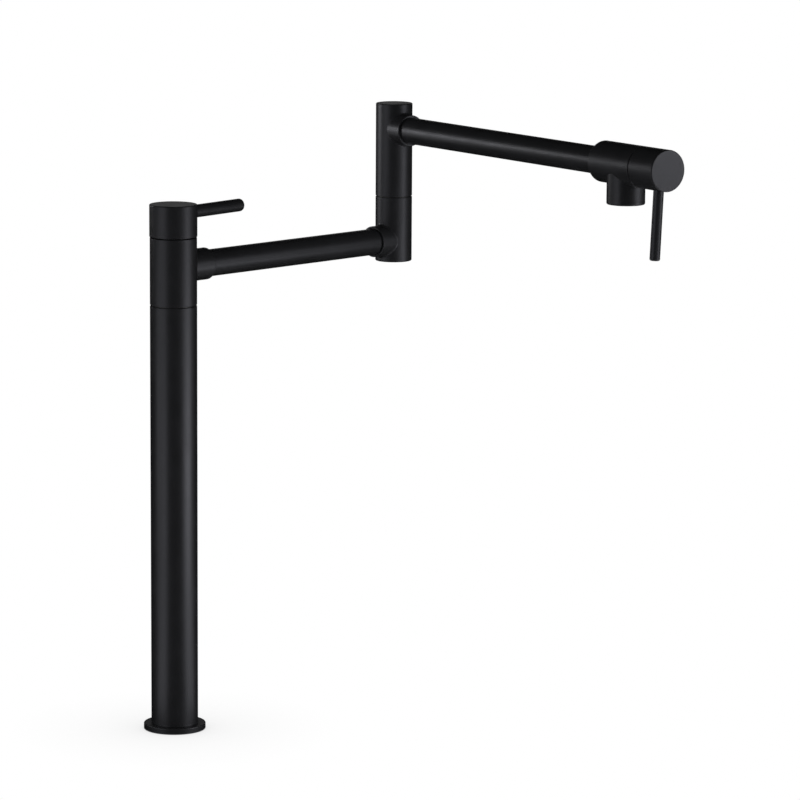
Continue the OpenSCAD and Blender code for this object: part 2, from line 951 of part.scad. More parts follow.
module base_stem_seal_ring() {
    on_base_seat(lower_arm_angle)
        stem_seal();
}

module on_base_cap() {
    on_base_seat(base_lever_angle)
        translate([0, 0, cap_start])
            children();
}

module base_handle_cap() {
    on_base_cap()
        handle_cap(base_cap_r, base_cap_h, base_lever_d / 2, base_cap_h - base_lever_drop);
}

module base_lever() {
    on_base_cap()
        lever(base_cap_r, base_lever_d / 2, base_lever_reach, base_cap_h - base_lever_drop,
            base_tip_round);
}

module base_grub_screw() {
    on_base_cap()
        grub_screw();
}

module outlet_cartridge() {
    on_outlet_seat()
        cartridge_body();
}

module outlet_cartridge_seal_ring() {
    on_outlet_seat()
        cartridge_collar_seal();
}

module outlet_seat_seal() {
    on_outlet_seat()
        cartridge_seat_seal();
}

module outlet_fixed_disc() {
    on_outlet_seat()
        fixed_disc();
}

module outlet_turning_disc() {
    on_outlet_seat()
        turning_disc();
}

module outlet_valve_stem() {
    on_outlet_seat()
        valve_stem();
}

module outlet_stem_seal_ring() {
    on_outlet_seat()
        stem_seal();
}

module on_outlet_cap() {
    on_outlet_seat(outlet_lever_lean)
        translate([0, 0, cap_start])
            children();
}

module outlet_handle_cap() {
    on_outlet_cap()
        handle_cap(outlet_r, outlet_cap_h, outlet_lever_d / 2, outlet_cap_h - outlet_lever_drop);
}

module outlet_lever() {
    on_outlet_cap()
        lever(outlet_r, outlet_lever_d / 2, outlet_lever_reach, outlet_cap_h - outlet_lever_drop,
            outlet_tip_round);
}

module outlet_grub_screw() {
    on_outlet_cap()
        grub_screw();
}

base_flange();
base_gasket();
column_tube();
column_foot();
mounting_shank();
worktop_seal();
clamp_washer();
mounting_nut();
riser_pipe();
column_head();
swivel_washer();
swivel_seal_rings();
swivel_clip();
swivel_hub();
base_valve_seat();
base_cartridge();
base_cartridge_seal_ring();
base_seat_seal();
base_fixed_disc();
base_turning_disc();
base_valve_stem();
base_stem_seal_ring();
base_handle_cap();
base_lever();
base_grub_screw();
lower_arm_tube();
lower_elbow();
elbow_spindle();
elbow_washer();
elbow_seal_rings();
elbow_clip();
upper_elbow();
elbow_plug();
upper_arm_tube();
outlet_body();
outlet_cartridge();
outlet_cartridge_seal_ring();
outlet_seat_seal();
outlet_fixed_disc();
aerator_housing();
aerator_screen();
aerator_seal();
outlet_turning_disc();
outlet_valve_stem();
outlet_stem_seal_ring();
outlet_handle_cap();
outlet_lever();
outlet_grub_screw();
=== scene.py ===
"""A deck-mounted pot filler in matte black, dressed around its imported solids.

The studio and the finishes are in metres and the pieces' own sizes in millimetres, in
the part's own frame: the origin is the centre of the base flange's underside on the
worktop, +Z is up and +Y points away from the camera.
"""

from __future__ import annotations

import json
import logging
import math
from dataclasses import dataclass
from enum import Enum
from typing import NamedTuple

import bmesh
import bpy
from mathutils import Matrix, Vector


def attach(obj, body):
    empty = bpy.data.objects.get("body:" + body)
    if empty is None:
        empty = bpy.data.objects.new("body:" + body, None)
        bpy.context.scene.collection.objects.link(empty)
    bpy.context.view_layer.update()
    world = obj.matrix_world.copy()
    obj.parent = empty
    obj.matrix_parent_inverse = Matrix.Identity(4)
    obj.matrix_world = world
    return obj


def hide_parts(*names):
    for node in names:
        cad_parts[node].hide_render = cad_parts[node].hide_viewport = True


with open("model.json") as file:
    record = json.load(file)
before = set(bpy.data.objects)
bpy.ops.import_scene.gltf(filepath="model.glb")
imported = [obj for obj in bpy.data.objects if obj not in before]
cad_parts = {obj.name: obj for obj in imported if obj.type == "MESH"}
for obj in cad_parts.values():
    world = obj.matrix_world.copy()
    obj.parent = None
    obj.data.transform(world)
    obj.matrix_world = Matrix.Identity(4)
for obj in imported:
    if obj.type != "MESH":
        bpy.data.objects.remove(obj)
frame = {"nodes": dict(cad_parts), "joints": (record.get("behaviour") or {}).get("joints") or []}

LOG = logging.getLogger("pot_filler")
MM = 0.001
FULL_TURN = 2 * math.pi
# Edges that bend by more than this, in degrees, stay sharp.
SHARP_ANGLE = 34.0
# Points closer than this, in metres, become one.
WELD_DISTANCE = 0.0000005
# Points are the same where they round to the same of these steps.
STEPS_PER_MM = 10000

Colour = tuple[float, float, float]
Point = tuple[float, float, float]
Span = tuple[float, float]
Outline = list[tuple[float, float]]
Rows = list[list[Vector]]
Inputs = tuple[tuple[str, float], ...]
Socket = bpy.types.NodeSocket
Sockets = bpy.types.bpy_prop_collection


class Body(Enum):
    """The groups of pieces that move as one."""

    BASE = "base"
    LOWER_ARM = "lower_arm"
    BASE_HANDLE = "base_handle"
    UPPER_ARM = "upper_arm"
    OUTLET_HANDLE = "outlet_handle"


class Valve(Enum):
    """The two valves, by the word that their pieces' names start with."""

    BASE = "base"
    OUTLET = "outlet"


def add_object(name: str, data: bpy.types.ID) -> bpy.types.Object:
    """Adds an object to the scene.

    Args:
        name: The object's name.
        data: Its mesh, light or camera.

    Returns:
        The object.
    """
    made = bpy.data.objects.new(name, data)
    bpy.context.scene.collection.objects.link(made)
    return made


def polar(r: float, angle: float, z: float) -> Vector:
    """Gives the point at a distance out from the Z axis, an angle round it and a height."""
    return Vector((r * math.cos(angle), r * math.sin(angle), z))


class NodeSheet:
    """A node tree with short calls for adding and joining its nodes."""

    def __init__(self, tree: bpy.types.NodeTree) -> None:
        """Starts on the tree of a material, a world or a node group."""
        self.tree = tree

    @classmethod
    def cleared(cls, owner: bpy.types.Material | bpy.types.World) -> NodeSheet:
        """Starts on the emptied tree of a material or a world.

        Args:
            owner: The material or the world.

        Returns:
            The sheet.
        """
        owner.use_nodes = True
        owner.node_tree.nodes.clear()
        return cls(owner.node_tree)

    def add(self, kind: str, **values: object) -> bpy.types.Node:
        """Adds a node.

        Args:
            kind: The node's type name, such as ShaderNodeMath.
            **values: Settings of the node, such as its operation.

        Returns:
            The new node.
        """
        node = self.tree.nodes.new(kind)
        for name, value in values.items():
            setattr(node, name, value)
        return node

    def join(self, source: Socket, target: Socket) -> None:
        """Joins an output to an input."""
        self.tree.links.new(source, target)

    def show(self, shader: bpy.types.Node, kind: str = "ShaderNodeOutputMaterial") -> None:
        """Joins a shader to the output of a material or a world."""
        self.join(shader.outputs[0], self.add(kind).inputs["Surface"])

    def math(
        self, operation: str, first: Socket | float, second: Socket | float, clamp: bool = False
    ) -> Socket:
        """Adds a Math node.

        Args:
            operation: The node's operation, such as MULTIPLY.
            first: Its first value, as a socket or a number.
            second: Its second value, as a socket or a number.
            clamp: Whether the result is kept between 0 and 1.

        Returns:
            The result's socket.
        """
        node = self.add("ShaderNodeMath", operation=operation, use_clamp=clamp)
        for socket, value in zip(node.inputs, (first, second)):
            if isinstance(value, Socket):
                self.join(value, socket)
            else:
                socket.default_value = value
        return node.outputs[0]

    def lift(self, mask: Socket, start: float, gain: float) -> Socket:
        """Gives what a mask has above a start, times a gain, kept between 0 and 1."""
        return self.math("MULTIPLY", self.math("SUBTRACT", mask, start), gain, clamp=True)

    def spread(self, mask: Socket, low: float, high: float) -> Socket:
        """Maps a mask from 0 and 1 to low and high.

        Args:
            mask: The mask's socket.
            low: The value where the mask is 0.
            high: The value where the mask is 1.

        Returns:
            The mapped value's socket.
        """
        node = self.add("ShaderNodeMapRange")
        self.join(mask, node.inputs["Value"])
        node.inputs["To Min"].default_value = low
        node.inputs["To Max"].default_value = high
        return node.outputs["Result"]

    def noise(self, place: Socket, size: Socket | float, detail: float) -> Socket:
        """Adds a noise whose features have a size in metres.

        Args:
            place: The place on the piece.
            size: The size of a feature, in metres.
            detail: How many finer layers it has.

        Returns:
            The noise value's socket.
        """
        node = self.add("ShaderNodeTexNoise")
        self.join(place, node.inputs["Vector"])
        self.join(self.math("DIVIDE", 1.0, size), node.inputs["Scale"])
        node.inputs["Detail"].default_value = detail
        return node.outputs["Fac"]

    def mix(self, mask: Socket, low: Colour, high: Colour) -> Socket:
        """Mixes two colours by a mask.

        Args:
            mask: The mask's socket.
            low: The colour where the mask is 0.
            high: The colour where the mask is 1.

        Returns:
            The colour's socket.
        """
        node = self.add("ShaderNodeMix", data_type="RGBA")
        self.join(mask, node.inputs["Factor"])
        node.inputs["A"].default_value = (*low, 1.0)
        node.inputs["B"].default_value = (*high, 1.0)
        return node.outputs["Result"]

    def seen_directly(self) -> Socket:
        """Gives a mask of the rays that see the surround: straight, in gloss or through glass.

        Returns:
            The mask's socket.
        """
        path = self.add("ShaderNodeLightPath").outputs
        either = self.math("MAXIMUM", path["Is Camera Ray"], path["Is Glossy Ray"])
        return self.math("MAXIMUM", either, path["Is Transmission Ray"])


@dataclass(frozen=True)
class Effect:
    """A node group that several finishes share, and that starts from the place on the piece."""

    name: str
    inputs: Inputs
    outputs: tuple[str, ...]

    def group(self) -> bpy.types.NodeTree:
        """Gives the group, which is built on its first use.

        Returns:
            The node group.
        """
        found = bpy.data.node_groups.get(self.name)
        if found is not None:
            return found
        tree = bpy.data.node_groups.new(self.name, "ShaderNodeTree")
        tree.interface.new_socket("Vector", in_out="INPUT", socket_type="NodeSocketVector")
        for title, value in self.inputs:
            socket = tree.interface.new_socket(title, in_out="INPUT", socket_type="NodeSocketFloat")
            socket.default_value = value
        for title in self.outputs:
            tree.interface.new_socket(title, in_out="OUTPUT", socket_type="NodeSocketFloat")
        sheet = NodeSheet(tree)
        given, made = sheet.add("NodeGroupInput").outputs, sheet.add("NodeGroupOutput").inputs
        self.draw(sheet, given, made)
        return tree

    def draw(self, sheet: NodeSheet, given: Sockets, made: Sockets) -> None:
        """Draws the effect's nodes, from the group's inputs to its outputs."""
        raise NotImplementedError

    def place(self, sheet: NodeSheet, spot: Socket, **values: float) -> Sockets:
        """Places the group in a material.

        Args:
            sheet: The material's tree.
            spot: The place on the piece.
            **values: The group's other inputs, with _ for a space in their titles.

        Returns:
            The group's output sockets.
        """
        node = sheet.add("ShaderNodeGroup", node_tree=self.group())
        sheet.join(spot, node.inputs["Vector"])
        for title, value in values.items():
            node.inputs[title.replace("_", " ")].default_value = value
        return node.outputs


@dataclass(frozen=True)
class CoatGrain(Effect):
    """The fine grain and soft ripple of a sprayed or moulded skin, and its rare flecks."""

    name: str = "coat grain"
    inputs: Inputs = (("Grain", 0.0003), ("Ripple", 0.0016), ("Ripple share", 0.4))
    outputs: tuple[str, ...] = ("Height", "Fleck")
    fleck_start: float = 0.6
    fleck_gain: float = 6.0

    def draw(self, sheet: NodeSheet, given: Sockets, made: Sockets) -> None:
        """Draws a grain and a ripple, mixed by the ripple's share.

        Args:
            sheet: The group's tree.
            given: The sockets that bring its inputs.
            made: The sockets that take its outputs.
        """
        grain = sheet.noise(given["Vector"], given["Grain"], detail=2.0)
        ripple = sheet.noise(given["Vector"], given["Ripple"], detail=1.0)
        share = given["Ripple share"]
        rest = sheet.math("MULTIPLY", grain, sheet.math("SUBTRACT", 1.0, share))
        height = sheet.math("ADD", rest, sheet.math("MULTIPLY", ripple, share))
        sheet.join(height, made["Height"])
        sheet.join(sheet.lift(grain, self.fleck_start, self.fleck_gain), made["Fleck"])


@dataclass(frozen=True)
class ToneDrift(Effect):
    """The slow change of tone over a surface, from handling and the coat's thickness."""

    name: str = "tone drift"
    inputs: Inputs = (("Size", 0.03), ("Contrast", 1.6))
    outputs: tuple[str, ...] = ("Tone",)
    middle: float = 0.5

    def draw(self, sheet: NodeSheet, given: Sockets, made: Sockets) -> None:
        """Draws a slow noise with its contrast raised about the middle.

        Args:
            sheet: The group's tree.
            given: The sockets that bring its inputs.
            made: The sockets that take its outputs.
        """
        slow = sheet.noise(given["Vector"], given["Size"], detail=3.0)
        about = sheet.math("MULTIPLY", sheet.math("SUBTRACT", slow, self.middle), given["Contrast"])
        sheet.join(sheet.math("ADD", about, self.middle, clamp=True), made["Tone"])


@dataclass(frozen=True)
class EdgeWearAndHighlight(Effect):
    """The burnish along edges, broken up as handling leaves it; the lighter colour that it gives
    edges is also a painted edge highlight.
    """

    name: str = "edge wear and painted highlight"
    inputs: Inputs = (("Width", 0.0004), ("Patch", 0.004))
    outputs: tuple[str, ...] = ("Mask",)
    edge_gain: float = 8.0
    patch_start: float = 0.3
    patch_gain: float = 2.5

    def draw(self, sheet: NodeSheet, given: Sockets, made: Sockets) -> None:
        """Draws a mask where a rounded normal departs from the face's own.

        Args:
            sheet: The group's tree.
            given: The sockets that bring its inputs.
            made: The sockets that take its outputs.
        """
        # Edges found here take a lighter colour: burnish, and also a painted edge highlight.
        rounded = sheet.add("ShaderNodeBevel", samples=4)
        sheet.join(given["Width"], rounded.inputs["Radius"])
        across = sheet.add("ShaderNodeVectorMath", operation="DOT_PRODUCT")
        sheet.join(rounded.outputs["Normal"], across.inputs[0])
        sheet.join(sheet.add("ShaderNodeNewGeometry").outputs["Normal"], across.inputs[1])
        bend = sheet.math("SUBTRACT", 1.0, across.outputs["Value"])
        edge = sheet.math("MULTIPLY", bend, self.edge_gain, clamp=True)
        patch = sheet.noise(given["Vector"], given["Patch"], detail=2.0)
        broken = sheet.lift(patch, self.patch_start, self.patch_gain)
        sheet.join(sheet.math("MULTIPLY", edge, broken), made["Mask"])


@dataclass(frozen=True)
class TurningMarks(Effect):
    """The rings that a lathe leaves, in the frame of the piece's own axis."""

    name: str = "turning marks"
    inputs: Inputs = (("Pitch", 0.00018),)
    outputs: tuple[str, ...] = ("Height", "Tone")
    rings_per_tone: float = 9.0

    def draw(self, sheet: NodeSheet, given: Sockets, made: Sockets) -> None:
        """Draws rings by the distance along the axis and out from it.

        Args:
            sheet: The group's tree.
            given: The sockets that bring its inputs.
            made: The sockets that take its outputs.
        """
        parts = sheet.add("ShaderNodeSeparateXYZ")
        sheet.join(given["Vector"], parts.inputs[0])
        flat = sheet.add("ShaderNodeCombineXYZ")
        sheet.join(parts.outputs["X"], flat.inputs["X"])
        sheet.join(parts.outputs["Y"], flat.inputs["Y"])
        out = sheet.add("ShaderNodeVectorMath", operation="LENGTH")
        sheet.join(flat.outputs[0], out.inputs[0])
        way = sheet.math("ADD", out.outputs["Value"], parts.outputs["Z"])
        for title, rings in (("Height", 1.0), ("Tone", self.rings_per_tone)):
            lines = sheet.add("ShaderNodeTexNoise", noise_dimensions="1D")
            spaced = sheet.math("DIVIDE", way, sheet.math("MULTIPLY", given["Pitch"], rings))
            sheet.join(spaced, lines.inputs["W"])
            lines.inputs["Scale"].default_value = 1.0
            lines.inputs["Detail"].default_value = 2.0
            sheet.join(lines.outputs["Fac"], made[title])


@dataclass(frozen=True)
class DrawnLines(Effect):
    """The lines that a drawing die leaves along a tube, in the frame of the tube's axis."""

    name: str = "drawn lines"
    inputs: Inputs = (("Width", 0.0003),)
    outputs: tuple[str, ...] = ("Height",)
    squeeze: float = 0.01

    def draw(self, sheet: NodeSheet, given: Sockets, made: Sockets) -> None:
        """Draws a noise that hardly changes along the axis.

        Args:
            sheet: The group's tree.
            given: The sockets that bring its inputs.
            made: The sockets that take its outputs.
        """
        squeezed = sheet.add("ShaderNodeVectorMath", operation="MULTIPLY")
        sheet.join(given["Vector"], squeezed.inputs[0])
        squeezed.inputs[1].default_value = (1.0, 1.0, self.squeeze)
        lines = sheet.noise(squeezed.outputs["Vector"], given["Width"], detail=2.0)
        sheet.join(lines, made["Height"])


COAT_GRAIN = CoatGrain()
TONE_DRIFT = ToneDrift()
EDGE_WEAR_AND_HIGHLIGHT = EdgeWearAndHighlight()
TURNING_MARKS = TurningMarks()
DRAWN_LINES = DrawnLines()


@dataclass(frozen=True)
class Axis:
    """A straight line through the part, such as that of a turned piece."""

    name: str
    origin: Point = (0.0, 0.0, 0.0)
    heading: Point = (0.0, 0.0, 1.0)

    @classmethod
    def along(cls, name: str, lay: Matrix, z: float) -> Axis:
        """Gives the axis along the X of a lay, which is in millimetres, at a height."""
        origin = (lay.translation + Vector((0.0, 0.0, z))) * MM
        return cls(name, tuple(origin), tuple(lay.to_3x3() @ Vector((1.0, 0.0, 0.0))))

    def turn(self) -> Matrix:
        """Gives the turn that lays +Z on the heading."""
        return Vector((0.0, 0.0, 1.0)).rotation_difference(Vector(self.heading)).to_matrix()

    def spot(self, sheet: NodeSheet) -> Socket:
        """Gives the place on a piece, measured from this axis.

        Args:
            sheet: The material's tree.

        Returns:
            The place's socket, whose Z runs along the axis.
        """
        own = sheet.add("ShaderNodeTexCoord").outputs["Object"]
        back = self.turn().inverted()
        laid = sheet.add("ShaderNodeMapping", vector_type="POINT")
        sheet.join(own, laid.inputs["Vector"])
        laid.inputs["Rotation"].default_value = back.to_euler()
        laid.inputs["Location"].default_value = back @ (-Vector(self.origin))
        return laid.outputs["Vector"]


class Pattern(NamedTuple):
    """What changes over a surface: the tone between its two colours, the bump and the wear."""

    tone: Socket
    height: Socket
    wear: Socket | None = None


@dataclass(frozen=True)
class Finish:
    """A surface finish: the values that every finish has, and the call that makes it."""

    name: str
    slot: str
    colour: Colour
    second_colour: Colour
    roughness: float
    roughness_spread: float
    metallic: float = 0.0
    specular: float = 0.5
    gloss_colour: Colour = (1.0, 1.0, 1.0)
    bump: float = 0.3
    bump_depth: float = 0.00002
    wear_polish: float = 0.12

    def material(self, axis: Axis) -> bpy.types.Material:
        """Gives the finish as a material, built on its first use.

        Args:
            axis: The axis that turned surfaces follow.

        Returns:
            The material.
        """
        title = f"{self.name}_{axis.name}"
        found = bpy.data.materials.get(title)
        if found is not None:
            return found
        made = bpy.data.materials.new(title)
        made.diffuse_color = (*self.colour, 1.0)
        sheet = NodeSheet.cleared(made)
        shader = sheet.add("ShaderNodeBsdfPrincipled")
        shader.inputs["Metallic"].default_value = self.metallic
        shader.inputs["Specular IOR Level"].default_value = self.specular
        shader.inputs["Specular Tint"].default_value = (*self.gloss_colour, 1.0)
        sheet.show(shader)
        pattern = self.pattern(sheet, axis.spot(sheet))
        colour = sheet.mix(pattern.tone, self.colour, self.second_colour)
        sheet.join(colour, shader.inputs["Base Color"])
        least, most = self.roughness - self.roughness_spread, self.roughness + self.roughness_spread
        grade = sheet.spread(pattern.tone, least, most)
        if pattern.wear is not None:
            polish = sheet.math("MULTIPLY", pattern.wear, self.wear_polish)
            grade = sheet.math("SUBTRACT", grade, polish)
        sheet.join(grade, shader.inputs["Roughness"])
        bump = sheet.add("ShaderNodeBump")
        bump.inputs["Strength"].default_value = self.bump
        bump.inputs["Distance"].default_value = self.bump_depth
        sheet.join(pattern.height, bump.inputs["Height"])
        sheet.join(bump.outputs["Normal"], shader.inputs["Normal"])
        return made

    def pattern(self, sheet: NodeSheet, spot: Socket) -> Pattern:
        """Draws what changes over the surface, by the place on the piece."""
        raise NotImplementedError


@dataclass(frozen=True)
class MatteBlackCoating(Finish):
    """The baked matte black coat of everything that shows."""

    name: str = "matte_black_coating"
    slot: str = "black_coating"
    colour: Colour = (0.0095, 0.0097, 0.0103)
    second_colour: Colour = (0.0125, 0.0128, 0.0138)
    roughness: float = 0.4
    roughness_spread: float = 0.04
    specular: float = 0.49
    # The gloss's cool tint is painted light: it stands in for a cool tint in the lights.
    gloss_colour: Colour = (0.89, 0.895, 1.0)
    bump: float = 0.35
    bump_depth: float = 0.00003
    fleck_share: float = 0.4

    def pattern(self, sheet: NodeSheet, spot: Socket) -> Pattern:
        """Draws fine grain over a soft ripple, a slow drift of tone, and burnished edges that also
        carry a painted edge highlight.

        Args:
            sheet: The material's tree.
            spot: The place on the piece.

        Returns:
            The pattern's sockets.
        """
        grain = COAT_GRAIN.place(sheet, spot, Grain=0.00028, Ripple=0.0018, Ripple_share=0.35)
        drift = TONE_DRIFT.place(sheet, spot, Size=0.02, Contrast=1.5)
        wear = EDGE_WEAR_AND_HIGHLIGHT.place(sheet, spot, Width=0.0004, Patch=0.005)
        flecks = sheet.math("MULTIPLY", grain["Fleck"], self.fleck_share)
        tone = sheet.math("ADD", drift["Tone"], flecks, clamp=True)
        # Edges take the lighter colour: burnish and a painted edge highlight.
        worn_and_highlit = sheet.math("MAXIMUM", tone, wear["Mask"])
        return Pattern(worn_and_highlit, grain["Height"], wear["Mask"])


@dataclass(frozen=True)
class TurnedBrass(Finish):
    """Brass as it comes from the lathe."""

    name: str = "turned_brass"
    slot: str = "brass"
    colour: Colour = (0.66, 0.47, 0.19)
    second_colour: Colour = (0.76, 0.58, 0.28)
    roughness: float = 0.3
    roughness_spread: float = 0.07
    metallic: float = 1.0
    bump: float = 0.25
    bump_depth: float = 0.00003
    ring_share: float = 0.5

    def pattern(self, sheet: NodeSheet, spot: Socket) -> Pattern:
        """Draws tool rings, a faint tarnish, and edges lighter from wear and from a painted edge
        highlight.

        Args:
            sheet: The material's tree.
            spot: The place on the piece.

        Returns:
            The pattern's sockets.
        """
        rings = TURNING_MARKS.place(sheet, spot, Pitch=0.00016)
        drift = TONE_DRIFT.place(sheet, spot, Size=0.012, Contrast=1.4)
        wear = EDGE_WEAR_AND_HIGHLIGHT.place(sheet, spot, Width=0.0003, Patch=0.003)
        both = sheet.math("ADD", drift["Tone"], rings["Tone"])
        tone = sheet.math("MULTIPLY", both, self.ring_share)
        # Edges take the brighter colour: wear and a painted edge highlight.
        worn_and_highlit = sheet.math("MAXIMUM", tone, wear["Mask"])
        return Pattern(worn_and_highlit, rings["Height"], wear["Mask"])


@dataclass(frozen=True)
class DrawnCopper(Finish):
    """Copper tube as it is drawn, with lines along it."""

    name: str = "drawn_copper"
    slot: str = "copper"
    colour: Colour = (0.62, 0.3, 0.17)
    second_colour: Colour = (0.76, 0.44, 0.29)
    roughness: float = 0.27
    roughness_spread: float = 0.06
    metallic: float = 1.0
    bump: float = 0.2
    line_share: float = 0.5

    def pattern(self, sheet: NodeSheet, spot: Socket) -> Pattern:
        """Draws lines along the tube and a slow change of colour.

        Args:
            sheet: The material's tree.
            spot: The place on the piece.

        Returns:
            The pattern's sockets.
        """
        lines = DRAWN_LINES.place(sheet, spot, Width=0.0003)
        drift = TONE_DRIFT.place(sheet, spot, Size=0.02, Contrast=2.0)
        both = sheet.math("ADD", drift["Tone"], lines["Height"])
        return Pattern(sheet.math("MULTIPLY", both, self.line_share), lines["Height"])


@dataclass(frozen=True)
class SatinSteel(Finish):
    """Stainless steel with a satin, lightly brushed face."""

    name: str = "satin_steel"
    slot: str = "steel"
    colour: Colour = (0.55, 0.56, 0.575)
    second_colour: Colour = (0.66, 0.67, 0.68)
    roughness: float = 0.34
    roughness_spread: float = 0.06
    metallic: float = 1.0
    bump: float = 0.25

    def pattern(self, sheet: NodeSheet, spot: Socket) -> Pattern:
        """Draws fine brush rings, and edges lighter from wear and from a painted edge highlight.

        Args:
            sheet: The material's tree.
            spot: The place on the piece.

        Returns:
            The pattern's sockets.
        """
        rings = TURNING_MARKS.place(sheet, spot, Pitch=0.00009)
        wear = EDGE_WEAR_AND_HIGHLIGHT.place(sheet, spot, Width=0.0002, Patch=0.002)
        # Edges take the brighter colour: wear and a painted edge highlight.
        worn_and_highlit = sheet.math("MAXIMUM", rings["Tone"], wear["Mask"])
        return Pattern(worn_and_highlit, rings["Height"], wear["Mask"])


@dataclass(frozen=True)
class BlackRubber(Finish):
    """Moulded black rubber with a dry bloom."""

    name: str = "black_rubber"
    slot: str = "black_rubber"
    colour: Colour = (0.019, 0.019, 0.019)
    second_colour: Colour = (0.034, 0.034, 0.035)
    roughness: float = 0.7
    roughness_spread: float = 0.09
    bump: float = 0.5
    bump_depth: float = 0.00006

    def pattern(self, sheet: NodeSheet, spot: Socket) -> Pattern:
        """Draws the mould's grain and patches of bloom.

        Args:
            sheet: The material's tree.
            spot: The place on the piece.

        Returns:
            The pattern's sockets.
        """
        grain = COAT_GRAIN.place(sheet, spot, Grain=0.0005, Ripple=0.003, Ripple_share=0.5)
        drift = TONE_DRIFT.place(sheet, spot, Size=0.006, Contrast=2.2)
        return Pattern(drift["Tone"], grain["Height"])


@dataclass(frozen=True)
class BlackAcetal(Finish):
    """Machined black acetal, slightly waxy."""

    name: str = "black_acetal"
    slot: str = "acetal"
    colour: Colour = (0.016, 0.016, 0.017)
    second_colour: Colour = (0.026, 0.026, 0.027)
    roughness: float = 0.42
    roughness_spread: float = 0.05
    bump: float = 0.2
    bump_depth: float = 0.00003

    def pattern(self, sheet: NodeSheet, spot: Socket) -> Pattern:
        """Draws faint tool rings and a slow change of tone.

        Args:
            sheet: The material's tree.
            spot: The place on the piece.

        Returns:
            The pattern's sockets.
        """
        rings = TURNING_MARKS.place(sheet, spot, Pitch=0.00022)
        drift = TONE_DRIFT.place(sheet, spot, Size=0.008, Contrast=1.2)
        return Pattern(drift["Tone"], rings["Height"])


@dataclass(frozen=True)
class LappedCeramic(Finish):
    """Alumina ceramic with lapped, polished faces."""

    name: str = "lapped_ceramic"
    slot: str = "ceramic"
    colour: Colour = (0.83, 0.82, 0.78)
    second_colour: Colour = (0.89, 0.88, 0.85)
    roughness: float = 0.13
    roughness_spread: float = 0.05
    bump: float = 0.1

    def pattern(self, sheet: NodeSheet, spot: Socket) -> Pattern:
        """Draws the fired body's fine grain.

        Args:
            sheet: The material's tree.
            spot: The place on the piece.

        Returns:
            The pattern's sockets.
        """
        grain = COAT_GRAIN.place(sheet, spot, Grain=0.0002, Ripple=0.002, Ripple_share=0.2)
        drift = TONE_DRIFT.place(sheet, spot, Size=0.005, Contrast=1.2)
        return Pattern(drift["Tone"], grain["Height"])


MATTE_BLACK = MatteBlackCoating()
BRASS = TurnedBrass()
COPPER = DrawnCopper()
STEEL = SatinSteel()
RUBBER = BlackRubber()
ACETAL = BlackAcetal()
CERAMIC = LappedCeramic()


@dataclass(frozen=True)
class SoftBox:
    """A rectangular studio light."""

    name: str
    place: Point
    aim: Point
    width: float
    height: float
    radiance: float

    def build(self) -> bpy.types.Object:
        """Builds the light, which cameras don't see.

        Returns:
            The light.
        """
        lamp = bpy.data.lights.new(self.name, "AREA")
        lamp.shape = "RECTANGLE"
        lamp.size, lamp.size_y = self.width, self.height
        lamp.energy = self.radiance * math.pi * self.width * self.height
        light = add_object(self.name, lamp)
        light.location = self.place
        way = Vector(self.aim) - Vector(self.place)
        light.rotation_mode = "QUATERNION"
        light.rotation_quaternion = way.to_track_quat("-Z", "Y")
        light.visible_camera = False
        return light


@dataclass(frozen=True)
class BlackCloth:
    """A round black cloth, which only gloss sees, in place of the white surround."""

    name: str
    columns: int

    def rings(self) -> Outline:
        """Gives the cloth's rings, as distances out from the column and heights."""
        raise NotImplementedError

    def is_open(self, ring: int, way: float) -> bool:
        """Tells whether the cloth is open beyond a ring, in a direction in degrees."""
        return False

    def felt(self) -> bpy.types.Material:
        """Gives the cloth's material.

        Returns:
            The material, which sends no light back.
        """
        black = bpy.data.materials.new(self.name)
        sheet = NodeSheet.cleared(black)
        matte = sheet.add("ShaderNodeBsdfDiffuse")
        matte.inputs["Color"].default_value = (0.0, 0.0, 0.0, 1.0)
        sheet.show(matte)
        return black

    def build(self) -> bpy.types.Object:
        """Builds the cloth between its rings, without its openings.

        Returns:
            The cloth.
        """
        rings = self.rings()
        step = 360.0 / self.columns
        ways = [math.radians(step * column) for column in range(self.columns)]
        faces = []
        for ring in range(len(rings) - 1):
            low, high = ring * self.columns, (ring + 1) * self.columns
            for a in range(self.columns):
                b = (a + 1) % self.columns
                if not self.is_open(ring, step * (a + 0.5)):
                    faces.append((low + a, low + b, high + b, high + a))
        mesh = bpy.data.meshes.new(self.name)
        mesh.from_pydata([polar(r, way, z) for r, z in rings for way in ways], [], faces)
        mesh.materials.append(self.felt())
        cloth = add_object(self.name, mesh)
        for seen in ("camera", "diffuse", "transmission", "volume_scatter", "shadow"):
            setattr(cloth, f"visible_{seen}", False)
        return cloth


@dataclass(frozen=True)
class Tent(BlackCloth):
    """A domed tent over the whole set."""

    name: str = "black_tent"
    columns: int = 48
    rows: int = 12
    radius: float = 3.2
    foot: float = -3.0

    def rings(self) -> Outline:
        """Gives the dome's rings.

        Returns:
            The rings, from the dome's foot to its top.
        """
        shares = (row / self.rows for row in range(self.rows + 1))
        ups = [math.radians(self.foot + (90.0 - self.foot) * share) for share in shares]
        return [(self.radius * math.cos(up), self.radius * math.sin(up)) for up in ups]


@dataclass(frozen=True)
class FloorCloth(BlackCloth):
    """A cloth just over the floor, open where gloss sees the pale floor beside the column."""

    name: str = "black_floor_cloth"
    columns: int = 72
    height: float = 0.0008
    radii: tuple[float, ...] = (0.02, 0.08, 0.45, 4.0)
    open_ring: int = 1
    openings: tuple[Span, ...] = ((-35.0, 10.0), (185.0, 230.0))

    def rings(self) -> Outline:
        """Gives the rings on the floor."""
        return [(radius, self.height) for radius in self.radii]

    def is_open(self, ring: int, way: float) -> bool:
        """Tells whether the cloth is open beyond a ring, in a direction in degrees."""
        inside = (first < (way - first) % 360.0 + first < last for first, last in self.openings)
        return ring == self.open_ring and any(inside)


